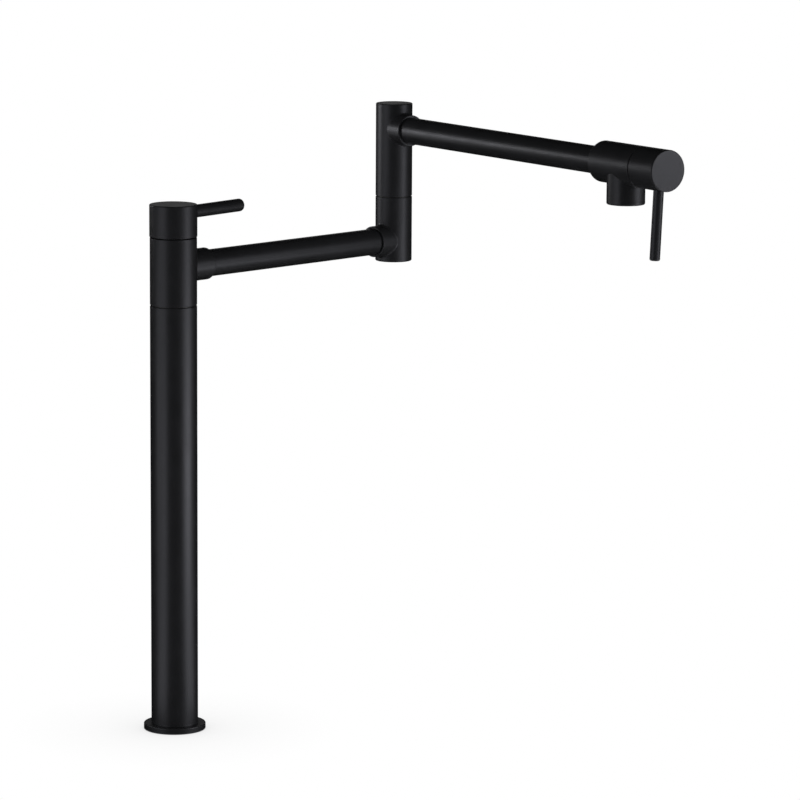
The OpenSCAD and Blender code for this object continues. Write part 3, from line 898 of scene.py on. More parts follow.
@dataclass
class Studio:
    """The floor, the surround, the lights and the camera, in metres and degrees."""

    lens: float = 196.97
    clip: Span = (0.1, 200.0)
    eye: Point = (-0.084, -3.486, 0.859)
    yaw: float = 4.38
    pitch: float = 9.56
    roll: float = 0.33
    surround: float = 0.52
    floor_radius: float = 60.0
    floor_corners: int = 96
    floor_colour: Colour = (0.8, 0.8, 0.8)
    # The reach and the depth of the painted contact shadow in the floor's glow.
    contact_reach: float = 0.12
    painted_contact_shadow: float = 0.55
    # Each light's name, place, aim, width, height and radiance.
    boxes: tuple[SoftBox, ...] = (
        SoftBox("soft_box_right_low", (0.674, -0.329, 0.075), (0.05, 0.0, 0.075), 0.45, 0.14, 4.8),
        SoftBox("soft_box_right_side", (0.739, -0.13, 0.13), (0.05, 0.0, 0.13), 0.35, 0.24, 1.6),
        SoftBox("soft_box_right_high", (1.316, -0.479, 0.53), (0.05, 0.0, 0.53), 0.6, 0.5, 2.8),
        SoftBox("soft_box_left_low", (-0.52, -0.468, 0.075), (0.05, 0.0, 0.075), 0.3, 0.14, 2.1),
        SoftBox("soft_box_left_side", (-0.689, -0.122, 0.14), (0.05, 0.0, 0.14), 0.3, 0.26, 1.2),
        SoftBox("soft_box_front_left", (-1.6, -1.15, 0.45), (0.1, 0.0, 0.3), 1.2, 0.8, 1.2),
        SoftBox("soft_box_back_left", (-0.6, 0.42, 0.53), (0.219, 0.994, 0.53), 0.4, 0.2, 5.8),
        SoftBox("soft_box_elbow_left", (-0.139, 0.288, 0.4), (0.761, 0.723, 0.4), 0.2, 0.16, 0.8),
        SoftBox("soft_box_behind", (0.15, 1.4, 0.63), (0.15, 0.0, 0.45), 1.0, 0.25, 0.5),
    )
    cloths: tuple[BlackCloth, ...] = (Tent(), FloorCloth())

    def build(self) -> None:
        """Builds the whole set."""
        self.build_camera()
        self.build_surround()
        self.build_floor()
        for item in (*self.boxes, *self.cloths):
            item.build()
        bpy.context.scene.view_settings.view_transform = "Standard"

    def build_camera(self) -> None:
        """Builds the camera at the photograph's viewing angle."""
        data = bpy.data.cameras.new("camera")
        data.lens = self.lens
        data.clip_start, data.clip_end = self.clip
        camera = add_object("camera", data)
        camera.location = self.eye
        tilted = turned_about(-self.yaw) @ turned_about(90.0 - self.pitch, "X")
        camera.rotation_mode = "QUATERNION"
        camera.rotation_quaternion = (tilted @ turned_about(self.roll)).to_quaternion()
        bpy.context.scene.camera = camera

    def build_surround(self) -> None:
        """Builds the world: white to look at, and dim as a light."""
        world = bpy.data.worlds.new("surround")
        sheet = NodeSheet.cleared(world)
        back = sheet.add("ShaderNodeBackground")
        back.inputs["Color"].default_value = (1.0, 1.0, 1.0, 1.0)
        level = sheet.spread(sheet.seen_directly(), self.surround, 1.0)
        sheet.join(level, back.inputs["Strength"])
        sheet.show(back, "ShaderNodeOutputWorld")
        bpy.context.scene.world = world

    def build_floor(self) -> None:
        """Builds the pale floor: matte to bounced light, and seen directly as a glow that carries a
        painted contact shadow from ambient occlusion in place of the object's shadow.
        """
        ways = [FULL_TURN * i / self.floor_corners for i in range(self.floor_corners)]
        mesh = bpy.data.meshes.new("floor")
        ring = [polar(self.floor_radius, way, 0.0) for way in ways]
        mesh.from_pydata(ring, [], [tuple(range(len(ring)))])
        paint = bpy.data.materials.new("pale_floor")
        sheet = NodeSheet.cleared(paint)
        matte = sheet.add("ShaderNodeBsdfDiffuse")
        matte.inputs["Color"].default_value = (*self.floor_colour, 1.0)
        glow = sheet.add("ShaderNodeEmission")
        # A painted contact shadow: the glow that direct rays see is dimmed where ambient occlusion
        # finds the object near.
        near = sheet.add("ShaderNodeAmbientOcclusion", samples=8)
        near.inputs["Distance"].default_value = self.contact_reach
        painted_shadow = sheet.spread(near.outputs["AO"], self.painted_contact_shadow, 1.0)
        sheet.join(painted_shadow, glow.inputs["Strength"])
        blend = sheet.add("ShaderNodeMixShader")
        sheet.join(sheet.seen_directly(), blend.inputs["Fac"])
        sheet.join(matte.outputs[0], blend.inputs[1])
        sheet.join(glow.outputs[0], blend.inputs[2])
        sheet.show(blend)
        mesh.materials.append(paint)
        floor = add_object("floor", mesh)


def turned_about(angle: float, axis: str = "Z") -> Matrix:
    """Gives a turn about an axis, from an angle in degrees."""
    return Matrix.Rotation(math.radians(angle), 4, axis)


def run_out(upright: Matrix, z: float, angle: float) -> Matrix:
    """Gives the lay of a piece that runs out square from a Z axis, at a place and an angle."""
    out = turned_about(angle) @ turned_about(90.0, "Y")
    return upright @ Matrix.Translation((0.0, 0.0, z)) @ out


def arc(r: float, z: float, e: float, start: float, steps: int) -> Outline:
    """Gives a quarter circle, of radius e about (r, z), from an angle in degrees."""
    angles = (math.radians(start + 90.0 * i / steps) for i in range(steps + 1))
    return [(r + e * math.cos(a), z + e * math.sin(a)) for a in angles]


def round_out(r: float, z: float, e: float, steps: int = 5) -> Outline:
    """Gives the rounded edge, of radius e, from a foot face at z to a wall of radius r."""
    return arc(r - e, z + e, e, -90.0, steps)


def round_in(r: float, z: float, e: float, steps: int = 5) -> Outline:
    """Gives the rounded edge, of radius e, from a wall of radius r to an end face at z."""
    return arc(r - e, z - e, e, 0.0, steps)


class Skin:
    """The closed skin of one piece, in millimetres in the piece's own frame."""

    def __init__(self, columns: int) -> None:
        """Starts an empty skin.

        Args:
            columns: How many faces a full turn has.
        """
        self.columns = columns
        self.points: list[Vector] = []
        self.places: dict[tuple[int, ...], int] = {}
        self.faces: list[list[int]] = []

    def turns(self) -> list[float]:
        """Gives the angles of a full turn, with the first one again at its end."""
        return [FULL_TURN * i / self.columns for i in range(self.columns + 1)]

    def point(self, at: Vector) -> int:
        """Gives the number of a point, where points in the same place share one.

        Args:
            at: Where the point lies.

        Returns:
            The point's number.
        """
        key = tuple(round(value * STEPS_PER_MM) for value in at)
        if key not in self.places:
            self.places[key] = len(self.points)
            self.points.append(at)
        return self.places[key]

    def grid(self, rows: Rows) -> None:
        """Adds the faces between rows of points.

        Args:
            rows: Rows with as many points each.
        """
        numbers = [[self.point(at) for at in row] for row in rows]
        for low, high in zip(numbers, numbers[1:]):
            for a, b, c, d in zip(low, low[1:], high[1:], high):
                corners = list(dict.fromkeys((a, b, c, d)))
                if len(corners) > 2:
                    self.faces.append(corners)

    def rings(self, outline: Outline, angles: list[float] | None = None) -> Rows:
        """Gives an outline's points as rings about the Z axis, at the angles or in even steps."""
        steps = angles or self.turns()
        return [[polar(r, a, z) for a in steps] for r, z in outline]

    def turn(self, outline: Outline, angles: list[float] | None = None) -> None:
        """Adds an outline turned about the Z axis."""
        self.grid(self.rings(outline, angles))

    def build(self, name: str, lay: Matrix) -> bpy.types.Object:
        """Builds the piece.

        Args:
            name: The piece's name.
            lay: The piece's frame in the part.

        Returns:
            The piece, with its place in its mesh.
        """
        mesh = bpy.data.meshes.new(name)
        mesh.from_pydata([(lay @ at) * MM for at in self.points], [], self.faces)
        whole = bmesh.new()
        whole.from_mesh(mesh)
        bmesh.ops.remove_doubles(whole, verts=whole.verts, dist=WELD_DISTANCE)
        bmesh.ops.recalc_face_normals(whole, faces=whole.faces)
        for face in whole.faces:
            face.smooth = True
        whole.to_mesh(mesh)
        whole.free()
        mesh.set_sharp_from_angle(angle=math.radians(SHARP_ANGLE))
        piece = add_object(name, mesh)
        even = piece.modifiers.new("even_shading", "WEIGHTED_NORMAL")
        even.keep_sharp = True
        return piece


@dataclass
class Thread:
    """A screw thread between two heights, whose turns start from height 0."""

    crest_r: float
    depth: float
    pitch: float
    z0: float
    z1: float
    # The corners of one turn, as shares of the pitch and of the depth.
    profile: tuple[Span, ...] = ((0.0, 0.0), (0.12, 0.0), (0.5, 1.0), (0.62, 1.0))

    @property
    def root_r(self) -> float:
        """The radius at the thread's root."""
        return self.crest_r - self.depth

    def add_to(self, skin: Skin) -> None:
        """Adds the thread to a skin, from root to root.

        Args:
            skin: The skin that it becomes part of.
        """
        first = math.floor(self.z0 / self.pitch) - 1
        last = math.ceil(self.z1 / self.pitch)
        rows = []
        for lap in range(first, last + 1):
            for share, rise in self.profile:
                rows.append([self.spot(lap + share, rise, a) for a in skin.turns()])
        skin.grid(rows)

    def spot(self, laps: float, rise: float, angle: float) -> Vector:
        """Gives one point of the thread.

        Args:
            laps: How many pitches up from height 0 it lies, where the turn starts.
            rise: Its height above the root, from 0 to 1.
            angle: How far round it lies.

        Returns:
            The point.
        """
        free = self.pitch * (laps + angle / FULL_TURN)
        z = min(max(free, self.z0), self.z1)
        fade = min(1.0, (z - self.z0) / self.pitch, (self.z1 - z) / self.pitch)
        return polar(self.crest_r - self.depth * (1.0 - rise * fade), angle, z)


@dataclass(frozen=True)
class Patch:
    """The square part of a barrel's two walls that is meshed to meet the branch's round."""

    half_angle: float
    half_height: float
    inner_half_height: float = 10.0


@dataclass
class Tee:
    """A turned barrel whose round branch runs out along +X, with a soft blend between them.

    The foot runs from the bore to the outer wall and the head back to the bore, and the
    branch from its outer wall to its port, as distances out from their axis and along it.
    Side, rest and layers count the faces along a side of the patch, round the rest of the
    wall, and from the branch out to the patch's edge.
    """

    barrel_r: float
    bore_r: float
    foot: Outline
    head: Outline
    branch_r: float
    branch_z: float
    port_r: float
    branch: Outline
    blend: float
    patch: Patch
    blend_steps: int = 6
    columns: int = 96
    side: int = 22
    rest: int = 56
    layers: int = 5

    def rays(self) -> list[float]:
        """Gives the directions round the branch, from one corner of the patch back to it."""
        count = 4 * self.side
        return [FULL_TURN * (i / count - 1 / 8) for i in range(count + 1)]

    def spread(self) -> list[float]:
        """Gives the places along one side of a square patch, from -1 to 1."""
        return [math.tan(math.pi / 2 * (i / self.side - 0.5)) for i in range(self.side + 1)]

    def far_angles(self) -> list[float]:
        """Gives the angles round the side of the barrel that faces away from the branch.

        Returns:
            The angles, from one edge of the patch to the other.
        """
        start = math.radians(self.patch.half_angle)
        step = (FULL_TURN - 2 * start) / self.rest
        return [start + step * i for i in range(self.rest + 1)]

    def wall(self, skin: Skin, radius: float, loop: list[Vector], half_height: float) -> None:
        """Adds a barrel wall with a hole in it round the branch's axis.

        Args:
            skin: The skin that it becomes part of.
            radius: The wall's radius.
            loop: The hole's edge, which lies on the wall.
            half_height: How far the wall reaches above and below the branch's axis.
        """
        wide = math.radians(self.patch.half_angle)
        rows: Rows = [[] for _ in range(self.layers + 1)]
        for ray, at in zip(self.rays(), loop):
            c, s = math.cos(ray), math.sin(ray)
            longest = max(abs(c), abs(s))
            near = (math.atan2(at.y, at.x), at.z)
            far = (wide * c / longest, self.branch_z + half_height * s / longest)
            for layer, row in enumerate(rows):
                a, z = (n + (f - n) * layer / self.layers for n, f in zip(near, far))
                row.append(polar(radius, a, z))
        skin.grid(rows)
        heights = [(radius, self.branch_z + half_height * share) for share in self.spread()]
        skin.turn(heights, self.far_angles())

    def blend_rows(self) -> Rows:
        """Gives the blend, as a ball would touch the barrel and the branch.

        Returns:
            Its rows, from the barrel's wall to the branch's.
        """
        rows: Rows = [[] for _ in range(self.blend_steps + 1)]
        wide_r, wide_a = self.barrel_r + self.blend, self.branch_r + self.blend
        for ray in self.rays():
            c, s = math.cos(ray), math.sin(ray)
            ball = Vector((math.sqrt(wide_r**2 - (wide_a * c) ** 2), wide_a * c, wide_a * s))
            to_barrel = Vector((-ball.x / wide_r, -ball.y / wide_r, 0.0))
            to_branch = Vector((0.0, -c, -s))
            for step, row in enumerate(rows):
                way = to_barrel.slerp(to_branch, step / self.blend_steps)
                row.append(ball + way * self.blend + Vector((0.0, 0.0, self.branch_z)))
        return rows

    def ring(self, r: float, x: float) -> list[Vector]:
        """Gives a ring of points round the branch's axis."""
        around = ((r * math.cos(ray), self.branch_z + r * math.sin(ray)) for ray in self.rays())
        return [Vector((x, y, z)) for y, z in around]

    def port_loop(self) -> list[Vector]:
        """Gives the loop in which the port meets the barrel's bore.

        Returns:
            The loop's points.
        """
        loop = self.ring(self.port_r, 0.0)
        for at in loop:
            at.x = math.sqrt(self.bore_r**2 - at.y**2)
        return loop

    def skin(self) -> Skin:
        """Gives the whole skin.

        Returns:
            The closed skin.
        """
        skin = Skin(self.columns)
        whole = [math.radians(self.patch.half_angle) * share for share in self.spread()]
        whole += self.far_angles()[1:]
        outer, inner = self.patch.half_height, self.patch.inner_half_height
        low, high = (self.bore_r, self.branch_z - inner), (self.barrel_r, self.branch_z - outer)
        skin.turn([low, *self.foot, high], whole)
        low, high = (self.barrel_r, self.branch_z + outer), (self.bore_r, self.branch_z + inner)
        skin.turn([low, *self.head, high], whole)
        blend, port = self.blend_rows(), self.port_loop()
        self.wall(skin, self.barrel_r, blend[0], outer)
        self.wall(skin, self.bore_r, port, inner)
        skin.grid([*blend, *(self.ring(r, x) for r, x in self.branch), port])
        return skin


@dataclass(frozen=True)
class Stub:
    """A barrel's stub for an arm tube, with a shallow recess round the tube that enters it."""

    r: float
    reach: float
    seat: float
    shoulder: float
    socket_r: float = 11.05
    recess_r: float = 11.6
    recess_depth: float = 0.8
    bevel: float = 0.15
    port_r: float = 7.5

    def outline(self) -> Outline:
        """Gives the stub's outline.

        Returns:
            The outline, from the outer wall to the port.
        """
        floor = self.reach - self.recess_depth
        lip = [(self.recess_r + self.bevel, self.reach), (self.recess_r, self.reach - self.bevel)]
        socket = [(self.socket_r, floor), (self.socket_r, self.seat), (self.port_r, self.seat)]
        return [*round_in(self.r, self.reach, self.shoulder), *lip, (self.recess_r, floor), *socket]


class StubbedBarrel:
    """What the barrels with a stub for an arm tube share, in the classes that hold its sizes."""

    barrel_r: float
    bore_r: float
    arm_z: float
    stub: Stub
    blend: float
    patch: Patch

    def stub_tee(self, foot: Outline, head: Outline) -> Tee:
        """Gives the barrel with its stub.

        Args:
            foot: The barrel's foot, from the bore to the outer wall.
            head: The barrel's head, from the outer wall back to the bore.

        Returns:
            The tee.
        """
        return Tee(barrel_r=self.barrel_r, bore_r=self.bore_r, foot=foot, head=head,
                   branch_r=self.stub.r, branch_z=self.arm_z, port_r=self.stub.port_r,
                   branch=self.stub.outline(), blend=self.blend, patch=self.patch)


@dataclass
class SubAssembly:
    """A group of pieces on one body, built and dressed together.

    Its axis is the one that turned surfaces follow, and its lay is the own frame of the
    pieces that it builds.
    """

    body: Body
    axis: Axis
    lay: Matrix

    def build(self) -> None:
        """Builds the group's own pieces and dresses its solids."""
        raise NotImplementedError

    def dress(self, finish: Finish, *nodes: str) -> None:
        """Gives solids of the frame their finish.

        Args:
            finish: The finish.
            *nodes: The solids' names.
        """
        for name in nodes:
            solid = frame["nodes"][name]
            solid.data.materials.clear()
            solid.data.materials.append(finish.material(self.axis))
            LOG.info("%s: %s", name, finish.name)

    def place(self, skin: Skin, name: str, finish: Finish, node: str) -> None:
        """Builds a piece in the place of a plainer solid.

        Args:
            skin: The piece's skin.
            name: The piece's name.
            finish: Its finish.
            node: The solid that it stands for.
        """
        piece = skin.build(name, self.lay)
        piece.data.materials.append(finish.material(self.axis))
        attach(piece, self.body.value)
        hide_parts(node)
        LOG.info("%s: %s, in the place of %s", name, finish.name, node)


@dataclass
class ColumnBase(SubAssembly):
    """The flange, the column and the clamp under the worktop."""

    shank_r: float = 13.2
    shank_z: Span = (-60.0, 17.5)
    shank_depth: float = 1.1
    shank_pitch: float = 2.0
    inlet_r: float = 10.48
    inlet_bottom: float = -74.0
    inlet_depth: float = 1.0
    inlet_pitch: float = 1.814
    lead: float = 0.8
    bevel: float = 0.6
    waterway_r: float = 7.5
    waterway_bevel: float = 0.4
    nut_z: Span = (-42.0, -34.0)
    nut_flat_r: float = 19.0
    nut_face_r: float = 18.43
    nut_corner_slope: float = 0.5
    nut_play: float = 0.05
    columns: int = 48

    def build(self) -> None:
        """Builds the threaded pieces and dresses the rest."""
        self.place(self.shank(), "mounting_shank_threaded", BRASS, "mounting_shank")
        self.place(self.nut(), "mounting_nut_threaded", BRASS, "mounting_nut")
        self.dress(MATTE_BLACK, "base_flange", "column_tube")
        self.dress(BRASS, "column_foot", "column_head")
        self.dress(RUBBER, "base_gasket", "worktop_seal", "swivel_seal_rings")
        self.dress(STEEL, "clamp_washer", "swivel_clip")
        self.dress(COPPER, "riser_pipe")
        self.dress(ACETAL, "swivel_washer")

    def clamp_thread(self, low: float, top: float, play: float = 0.0) -> Thread:
        """Gives the shank's thread between two end faces, or the nut's with some play."""
        ends = (low + self.lead, top - self.lead)
        return Thread(self.shank_r + play, self.shank_depth, self.shank_pitch, *ends)

    def shank(self) -> Skin:
        """Gives the shank with its clamping thread and the finer inlet thread.

        Returns:
            The closed skin.
        """
        skin = Skin(self.columns)
        low, top = self.shank_z
        foot = self.inlet_bottom
        main = self.clamp_thread(low, top)
        inlet = Thread(self.inlet_r, self.inlet_depth, self.inlet_pitch, foot + self.lead, low)
        main.add_to(skin)
        inlet.add_to(skin)
        bore_r, mouth_r = self.waterway_r, self.waterway_r + self.waterway_bevel
        rim_r = main.root_r - self.bevel
        skin.turn([(main.root_r, top - self.lead), (rim_r, top), (mouth_r, top),
                   (bore_r, top - self.waterway_bevel), (bore_r, foot + self.waterway_bevel),
                   (mouth_r, foot), (inlet.root_r - self.bevel, foot),
                   (inlet.root_r, foot + self.lead)])
        skin.turn([(inlet.root_r, low), (rim_r, low), (main.root_r, low + self.lead)])
        return skin

    def nut(self) -> Skin:
        """Gives the mounting nut: a chamfered hexagon on the shank's thread.

        Returns:
            The closed skin.
        """
        skin = Skin(self.columns)
        thread = self.clamp_thread(*self.nut_z, self.nut_play)
        thread.add_to(skin)
        corners: Rows = []
        for face_z, inward in zip(self.nut_z, (1.0, -1.0)):
            chamfer = []
            for a in skin.turns():
                from_flat = (a + math.pi / 6) % (math.pi / 3) - math.pi / 6
                r = self.nut_flat_r / math.cos(from_flat)
                drop = (r - self.nut_face_r) * self.nut_corner_slope
                chamfer.append(polar(r, a, face_z + inward * drop))
            face = [(thread.root_r, face_z + self.lead * inward), (thread.crest_r, face_z),
                    (self.nut_face_r, face_z)]
            skin.grid([*skin.rings(face), chamfer])
            corners.append(chamfer)
        skin.grid(corners)
        return skin


@dataclass
class ValveBarrel(SubAssembly):
    """A barrel with a valve cartridge in its bore and a handle cap on its end."""

    valve: Valve = Valve.BASE
    bore_r: float = 12.05
    edge: float = 0.4
    lip_rise: float = 1.7
    lip_bevel: float = 0.2

    def seam_lip(self, r: float, z: float) -> Outline:
        """Gives the lip that stands up inside the handle cap's skirt and closes its seam.

        Args:
            r: The lip's outer radius.
            z: The face that it stands on.

        Returns:
            The outline, from the face to the bore.
        """
        top, shoulder = z + self.lip_rise, z + self.lip_rise - self.lip_bevel
        outer = [(r, z), (r, shoulder), (r - self.lip_bevel, top)]
        return [*outer, (self.bore_r + self.lip_bevel, top), (self.bore_r, shoulder)]

    def dress_valve(self) -> None:
        """Dresses the valve's still pieces."""
        prefix = self.valve.value
        self.dress(BRASS, f"{prefix}_cartridge")
        self.dress(RUBBER, f"{prefix}_cartridge_seal_ring", f"{prefix}_seat_seal")
        self.dress(CERAMIC, f"{prefix}_fixed_disc")


@dataclass
class SwivelHub(ValveBarrel, StubbedBarrel):
    """The hub that turns on the column, with the base valve's still pieces."""

    barrel_r: float = 19.0
    bottom: float = 349.4
    bearing_r: float = 10.06
    bearing_bevel: float = 0.3
    bearing_top: float = 361.7
    chamber_r: float = 11.1
    seat_z: float = 366.2
    arm_z: float = 379.4
    top: float = 403.7
    lip_r: float = 15.3
    stub: Stub = Stub(r=13.0, reach=35.5, seat=24.0, shoulder=1.0)
    blend: float = 1.2
    patch: Patch = Patch(half_angle=56.0, half_height=19.0)

    def build(self) -> None:
        """Builds the hub and dresses what it holds."""
        self.place(self.tee().skin(), "swivel_hub_body", MATTE_BLACK, "swivel_hub")
        self.dress(BRASS, "base_valve_seat")
        self.dress_valve()

    def tee(self) -> Tee:
        """Gives the hub: a barrel with a stepped bore and a stub for the lower arm.

        Returns:
            The tee.
        """
        bevel_r, bevel_z = self.bearing_r + self.bearing_bevel, self.bottom + self.bearing_bevel
        foot = [(self.bore_r, self.seat_z), (self.chamber_r, self.seat_z),
                (self.chamber_r, self.bearing_top), (self.bearing_r, self.bearing_top),
                (self.bearing_r, bevel_z), (bevel_r, self.bottom),
                *round_out(self.barrel_r, self.bottom, self.edge)]
        head = [*round_in(self.barrel_r, self.top, self.edge), *self.seam_lip(self.lip_r, self.top)]
        return self.stub_tee(foot, head)


@dataclass
class LowerArm(SubAssembly):
    """The tube from the hub to the elbow."""

    def build(self) -> None:
        """Dresses the tube."""
        self.dress(MATTE_BLACK, "lower_arm_tube")


@dataclass
class ElbowBarrel(SubAssembly, StubbedBarrel):
    """One of the elbow's two barrels, with its stub for an arm tube."""

    barrel_r: float = 15.35
    edge: float = 0.4
    bevel: float = 0.3
    stub: Stub = Stub(r=13.0, reach=25.0, seat=13.5, shoulder=0.5)
    blend: float = 1.7


@dataclass
class LowerElbow(ElbowBarrel):
    """The elbow's lower barrel with the spindle that the upper one turns on."""

    bottom: float = 361.6
    bottom_edge: float = 1.0
    floor_z: float = 366.1
    arm_z: float = SwivelHub.arm_z
    bore_r: float = 8.5
    spindle_r: float = 10.05
    spindle_seat_z: float = 398.1
    top: float = 416.1
    patch: Patch = Patch(half_angle=74.0, half_height=16.0)

    def build(self) -> None:
        """Builds the barrel and dresses what it holds."""
        self.place(self.tee().skin(), "lower_elbow_body", MATTE_BLACK, "lower_elbow")
        self.dress(BRASS, "elbow_spindle")
        self.dress(ACETAL, "elbow_washer")
        self.dress(RUBBER, "elbow_seal_rings")
        self.dress(STEEL, "elbow_clip")

    def tee(self) -> Tee:
        """Gives the barrel: closed below, and bored for the spindle from above.

        Returns:
            The tee.
        """
        foot = [(self.bore_r, self.floor_z), (0.0, self.floor_z), (0.0, self.bottom),
                *round_out(self.barrel_r, self.bottom, self.bottom_edge)]
        head = [*round_in(self.barrel_r, self.top, self.edge),
                (self.spindle_r + self.bevel, self.top), (self.spindle_r, self.top - self.bevel),
                (self.spindle_r, self.spindle_seat_z), (self.bore_r, self.spindle_seat_z)]
        return self.stub_tee(foot, head)


@dataclass
class UpperArm(ElbowBarrel):
    """The elbow's upper barrel, its plug and the tube to the outlet."""

    bottom: float = 416.9
    bearing_r: float = 10.06
    bearing_top: float = 429.2
    bore_r: float = 11.1
    arm_z: float = 473.4
    plug_seat_z: float = 488.8
    plug_r: float = 11.55
    plug_bevel: float = 0.15
    top: float = 494.8
    top_edge: float = 0.8
    patch: Patch = Patch(half_angle=74.0, half_height=17.0)

    def build(self) -> None:
        """Builds the barrel and dresses the plug and the tube."""
        self.place(self.tee().skin(), "upper_elbow_body", MATTE_BLACK, "upper_elbow")
        self.dress(MATTE_BLACK, "elbow_plug", "upper_arm_tube")

    def tee(self) -> Tee:
        """Gives the barrel: a bearing below, and a recess for the plug above.

        Returns:
            The tee.
        """
        foot = [(self.bore_r, self.bearing_top), (self.bearing_r, self.bearing_top),
                (self.bearing_r, self.bottom + self.bevel),
                (self.bearing_r + self.bevel, self.bottom),
                *round_out(self.barrel_r, self.bottom, self.edge)]
        head = [*round_in(self.barrel_r, self.top, self.top_edge),
                (self.plug_r + self.plug_bevel, self.top),
                (self.plug_r, self.top - self.plug_bevel),
                (self.plug_r, self.plug_seat_z), (self.bore_r, self.plug_seat_z)]
        return self.stub_tee(foot, head)


@dataclass
class Outlet(ValveBarrel):
    """The outlet valve's body with its nozzle, aerator and the valve's still pieces.

    Its own frame has its Z along the arm, from the elbow's axis, and its X down the nozzle.
    """

    valve: Valve = Valve.OUTLET
    barrel_r: float = 16.45
    back: float = 290.0
    back_edge: float = 1.0
    socket_r: float = Stub.socket_r
    socket_bevel: float = 0.2
    socket_seat: float = 301.5
    port_r: float = Stub.port_r
    port_end: float = 303.5
    throat_r: float = 5.0
    chamber: float = 307.5
    nozzle_at: float = 318.7
    front: float = 341.0
    lip_r: float = 12.65
    nozzle_r: float = 15.2
    nozzle_reach: float = 31.1
    nozzle_edge: float = 1.2
    aerator_r: float = 11.95
    aerator_seat: float = 20.3
    mouth_bevel: float = 0.3
    nozzle_port_r: float = 9.5
    blend: float = 0.4
    blend_steps: int = 3
    patch: Patch = Patch(half_angle=76.0, half_height=17.5, inner_half_height=10.4)

    def build(self) -> None:
        """Builds the body and dresses what it holds."""
        self.place(self.tee().skin(), "outlet_nozzle_body", MATTE_BLACK, "outlet_body")
        self.dress_valve()
        self.dress(RUBBER, "aerator_seal")
        self.dress(STEEL, "aerator_housing")
        self.dress(ACETAL, "aerator_screen")

    def nozzle(self) -> Outline:
        """Gives the nozzle's outline.

        Returns:
            The outline, from the outer wall to the port.
        """
        reach, inner_r = self.nozzle_reach, self.aerator_r
        mouth = [(inner_r + self.mouth_bevel, reach), (inner_r, reach - self.mouth_bevel)]
        seat = [(inner_r, self.aerator_seat), (self.nozzle_port_r, self.aerator_seat)]
        return [*round_in(self.nozzle_r, reach, self.nozzle_edge), *mouth, *seat]

    def tee(self) -> Tee:
        """Gives the body along the arm, whose branch is the nozzle.

        Returns:
            The tee.
        """
        foot = [(self.bore_r, self.chamber), (self.throat_r, self.chamber),
                (self.throat_r, self.port_end), (self.port_r, self.port_end),
                (self.port_r, self.socket_seat), (self.socket_r, self.socket_seat),
                (self.socket_r, self.back + self.socket_bevel),
                (self.socket_r + self.socket_bevel, self.back),
                *round_out(self.barrel_r, self.back, self.back_edge)]
        head = [*round_in(self.barrel_r, self.front, self.edge),
                *self.seam_lip(self.lip_r, self.front)]
        return Tee(barrel_r=self.barrel_r, bore_r=self.bore_r, foot=foot, head=head,
                   branch_r=self.nozzle_r, branch_z=self.nozzle_at, port_r=self.nozzle_port_r,
                   branch=self.nozzle(), blend=self.blend, patch=self.patch,
                   blend_steps=self.blend_steps)


@dataclass
class Handle(SubAssembly):
    """A round handle cap, its lever, and the valve pieces that turn with it.

    Its own frame has its origin on the cap's axis and its Z along the lever.
    """

    valve: Valve
    cap_r: float
    lever_r: float
    reach: float
    tip: float
    edge: float = 0.3
    seat_depth: float = 2.0
    screw_r: float = 3.0
    screw_depth: float = 0.55
    screw_pitch: float = 1.0
    screw_end: float = 8.0
    screw_lead: float = 0.4
    columns: int = 64

    def build(self) -> None:
        """Builds the lever and dresses the rest."""
        prefix = self.valve.value
        self.place(self.lever(), f"{prefix}_lever_rod", MATTE_BLACK, f"{prefix}_lever")
        self.dress(MATTE_BLACK, f"{prefix}_handle_cap")
        self.dress(CERAMIC, f"{prefix}_turning_disc")
        self.dress(BRASS, f"{prefix}_valve_stem")
        self.dress(RUBBER, f"{prefix}_stem_seal_ring")
        self.dress(STEEL, f"{prefix}_grub_screw")

    def lever(self) -> Skin:
        """Gives the lever: a rod with a rounded tip and a threaded root.

        Returns:
            The closed skin.
        """
        skin = Skin(self.columns)
        seat = self.cap_r - self.seat_depth
        start = self.screw_end + self.screw_lead
        root = Thread(self.screw_r, self.screw_depth, self.screw_pitch, start, seat)
        root.add_to(skin)
        end_r = root.root_r - self.edge
        skin.turn([(0.0, self.screw_end), (end_r, self.screw_end), (root.root_r, start)])
        skin.turn([(root.root_r, seat), *round_out(self.lever_r, seat, self.edge, steps=3),
                   *round_in(self.lever_r, self.reach, self.tip, steps=8), (0.0, self.reach)])
        return skin


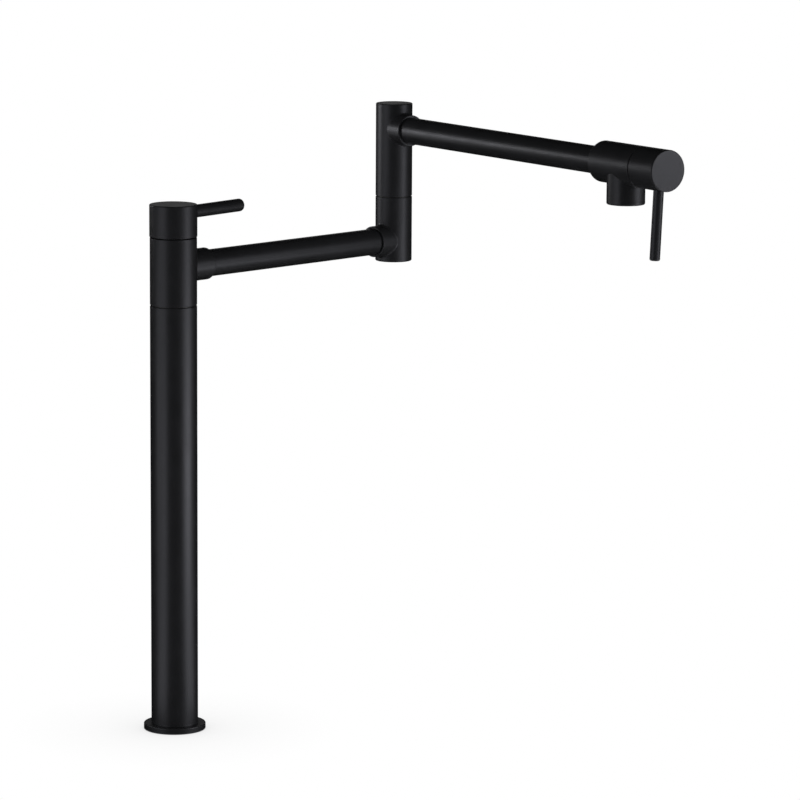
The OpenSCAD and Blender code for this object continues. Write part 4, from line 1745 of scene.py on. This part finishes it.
@dataclass
class Layout:
    """Where the groups lie, worked out from the frame's joints.

    A lay is a group's own frame in the part, and an axis is the line of a turned piece.
    """

    base_lever_z: float = 422.4
    base_lever_angle: float = 47.0
    outlet_lever_z: float = 361.1
    outlet_lever_angle: float = -3.0

    def __post_init__(self) -> None:
        """Reads the joints and lays the groups out."""
        joints = {joint["name"]: joint for joint in frame["joints"]}
        elbow_x, elbow_y, _ = (value / MM for value in joints["elbow_swivel"]["pos_m"])
        outlet_x, outlet_y, _ = joints["outlet_valve_turn"]["axis"]
        outlet_z = joints["outlet_valve_turn"]["pos_m"][2] / MM
        arm_angle = math.degrees(math.atan2(elbow_y, elbow_x))
        self.column = Matrix.Identity(4)
        self.elbow = Matrix.Translation((elbow_x, elbow_y, 0.0))
        self.lower_arm = turned_about(arm_angle)
        self.lower_elbow = self.elbow @ turned_about(arm_angle + 180.0)
        self.upper_arm = self.elbow @ turned_about(math.degrees(math.atan2(outlet_y, outlet_x)))
        self.outlet = run_out(self.upper_arm, outlet_z, 0.0)
        self.base_lever = run_out(self.column, self.base_lever_z, self.base_lever_angle)
        self.outlet_lever = run_out(self.outlet, self.outlet_lever_z, self.outlet_lever_angle)
        self.column_axis = Axis("column")
        self.elbow_axis = Axis("elbow", tuple(self.elbow.translation * MM))
        self.lower_axis = Axis.along("lower_arm", self.lower_arm, SwivelHub.arm_z)
        self.upper_axis = Axis.along("upper_arm", self.upper_arm, outlet_z)


def main() -> None:
    """Builds the set and the part, piece by piece."""
    logging.basicConfig(level=logging.INFO, format="%(message)s")
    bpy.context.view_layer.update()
    Studio().build()
    at = Layout()
    groups = (
        ColumnBase(Body.BASE, at.column_axis, at.column),
        SwivelHub(Body.LOWER_ARM, at.column_axis, at.lower_arm),
        LowerArm(Body.LOWER_ARM, at.lower_axis, at.lower_arm),
        LowerElbow(Body.LOWER_ARM, at.elbow_axis, at.lower_elbow),
        Handle(Body.BASE_HANDLE, at.column_axis, at.base_lever, Valve.BASE,
               cap_r=19.3, lever_r=5.25, reach=82.5, tip=2.0),
        UpperArm(Body.UPPER_ARM, at.elbow_axis, at.upper_arm),
        Outlet(Body.UPPER_ARM, at.upper_axis, at.outlet),
        Handle(Body.OUTLET_HANDLE, at.upper_axis, at.outlet_lever, Valve.OUTLET,
               cap_r=16.45, lever_r=4.125, reach=70.8, tip=1.5),
    )
    for group in groups:
        LOG.info("building %s", type(group).__name__)
        group.build()
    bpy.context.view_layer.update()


if __name__ == "__main__":
    main()
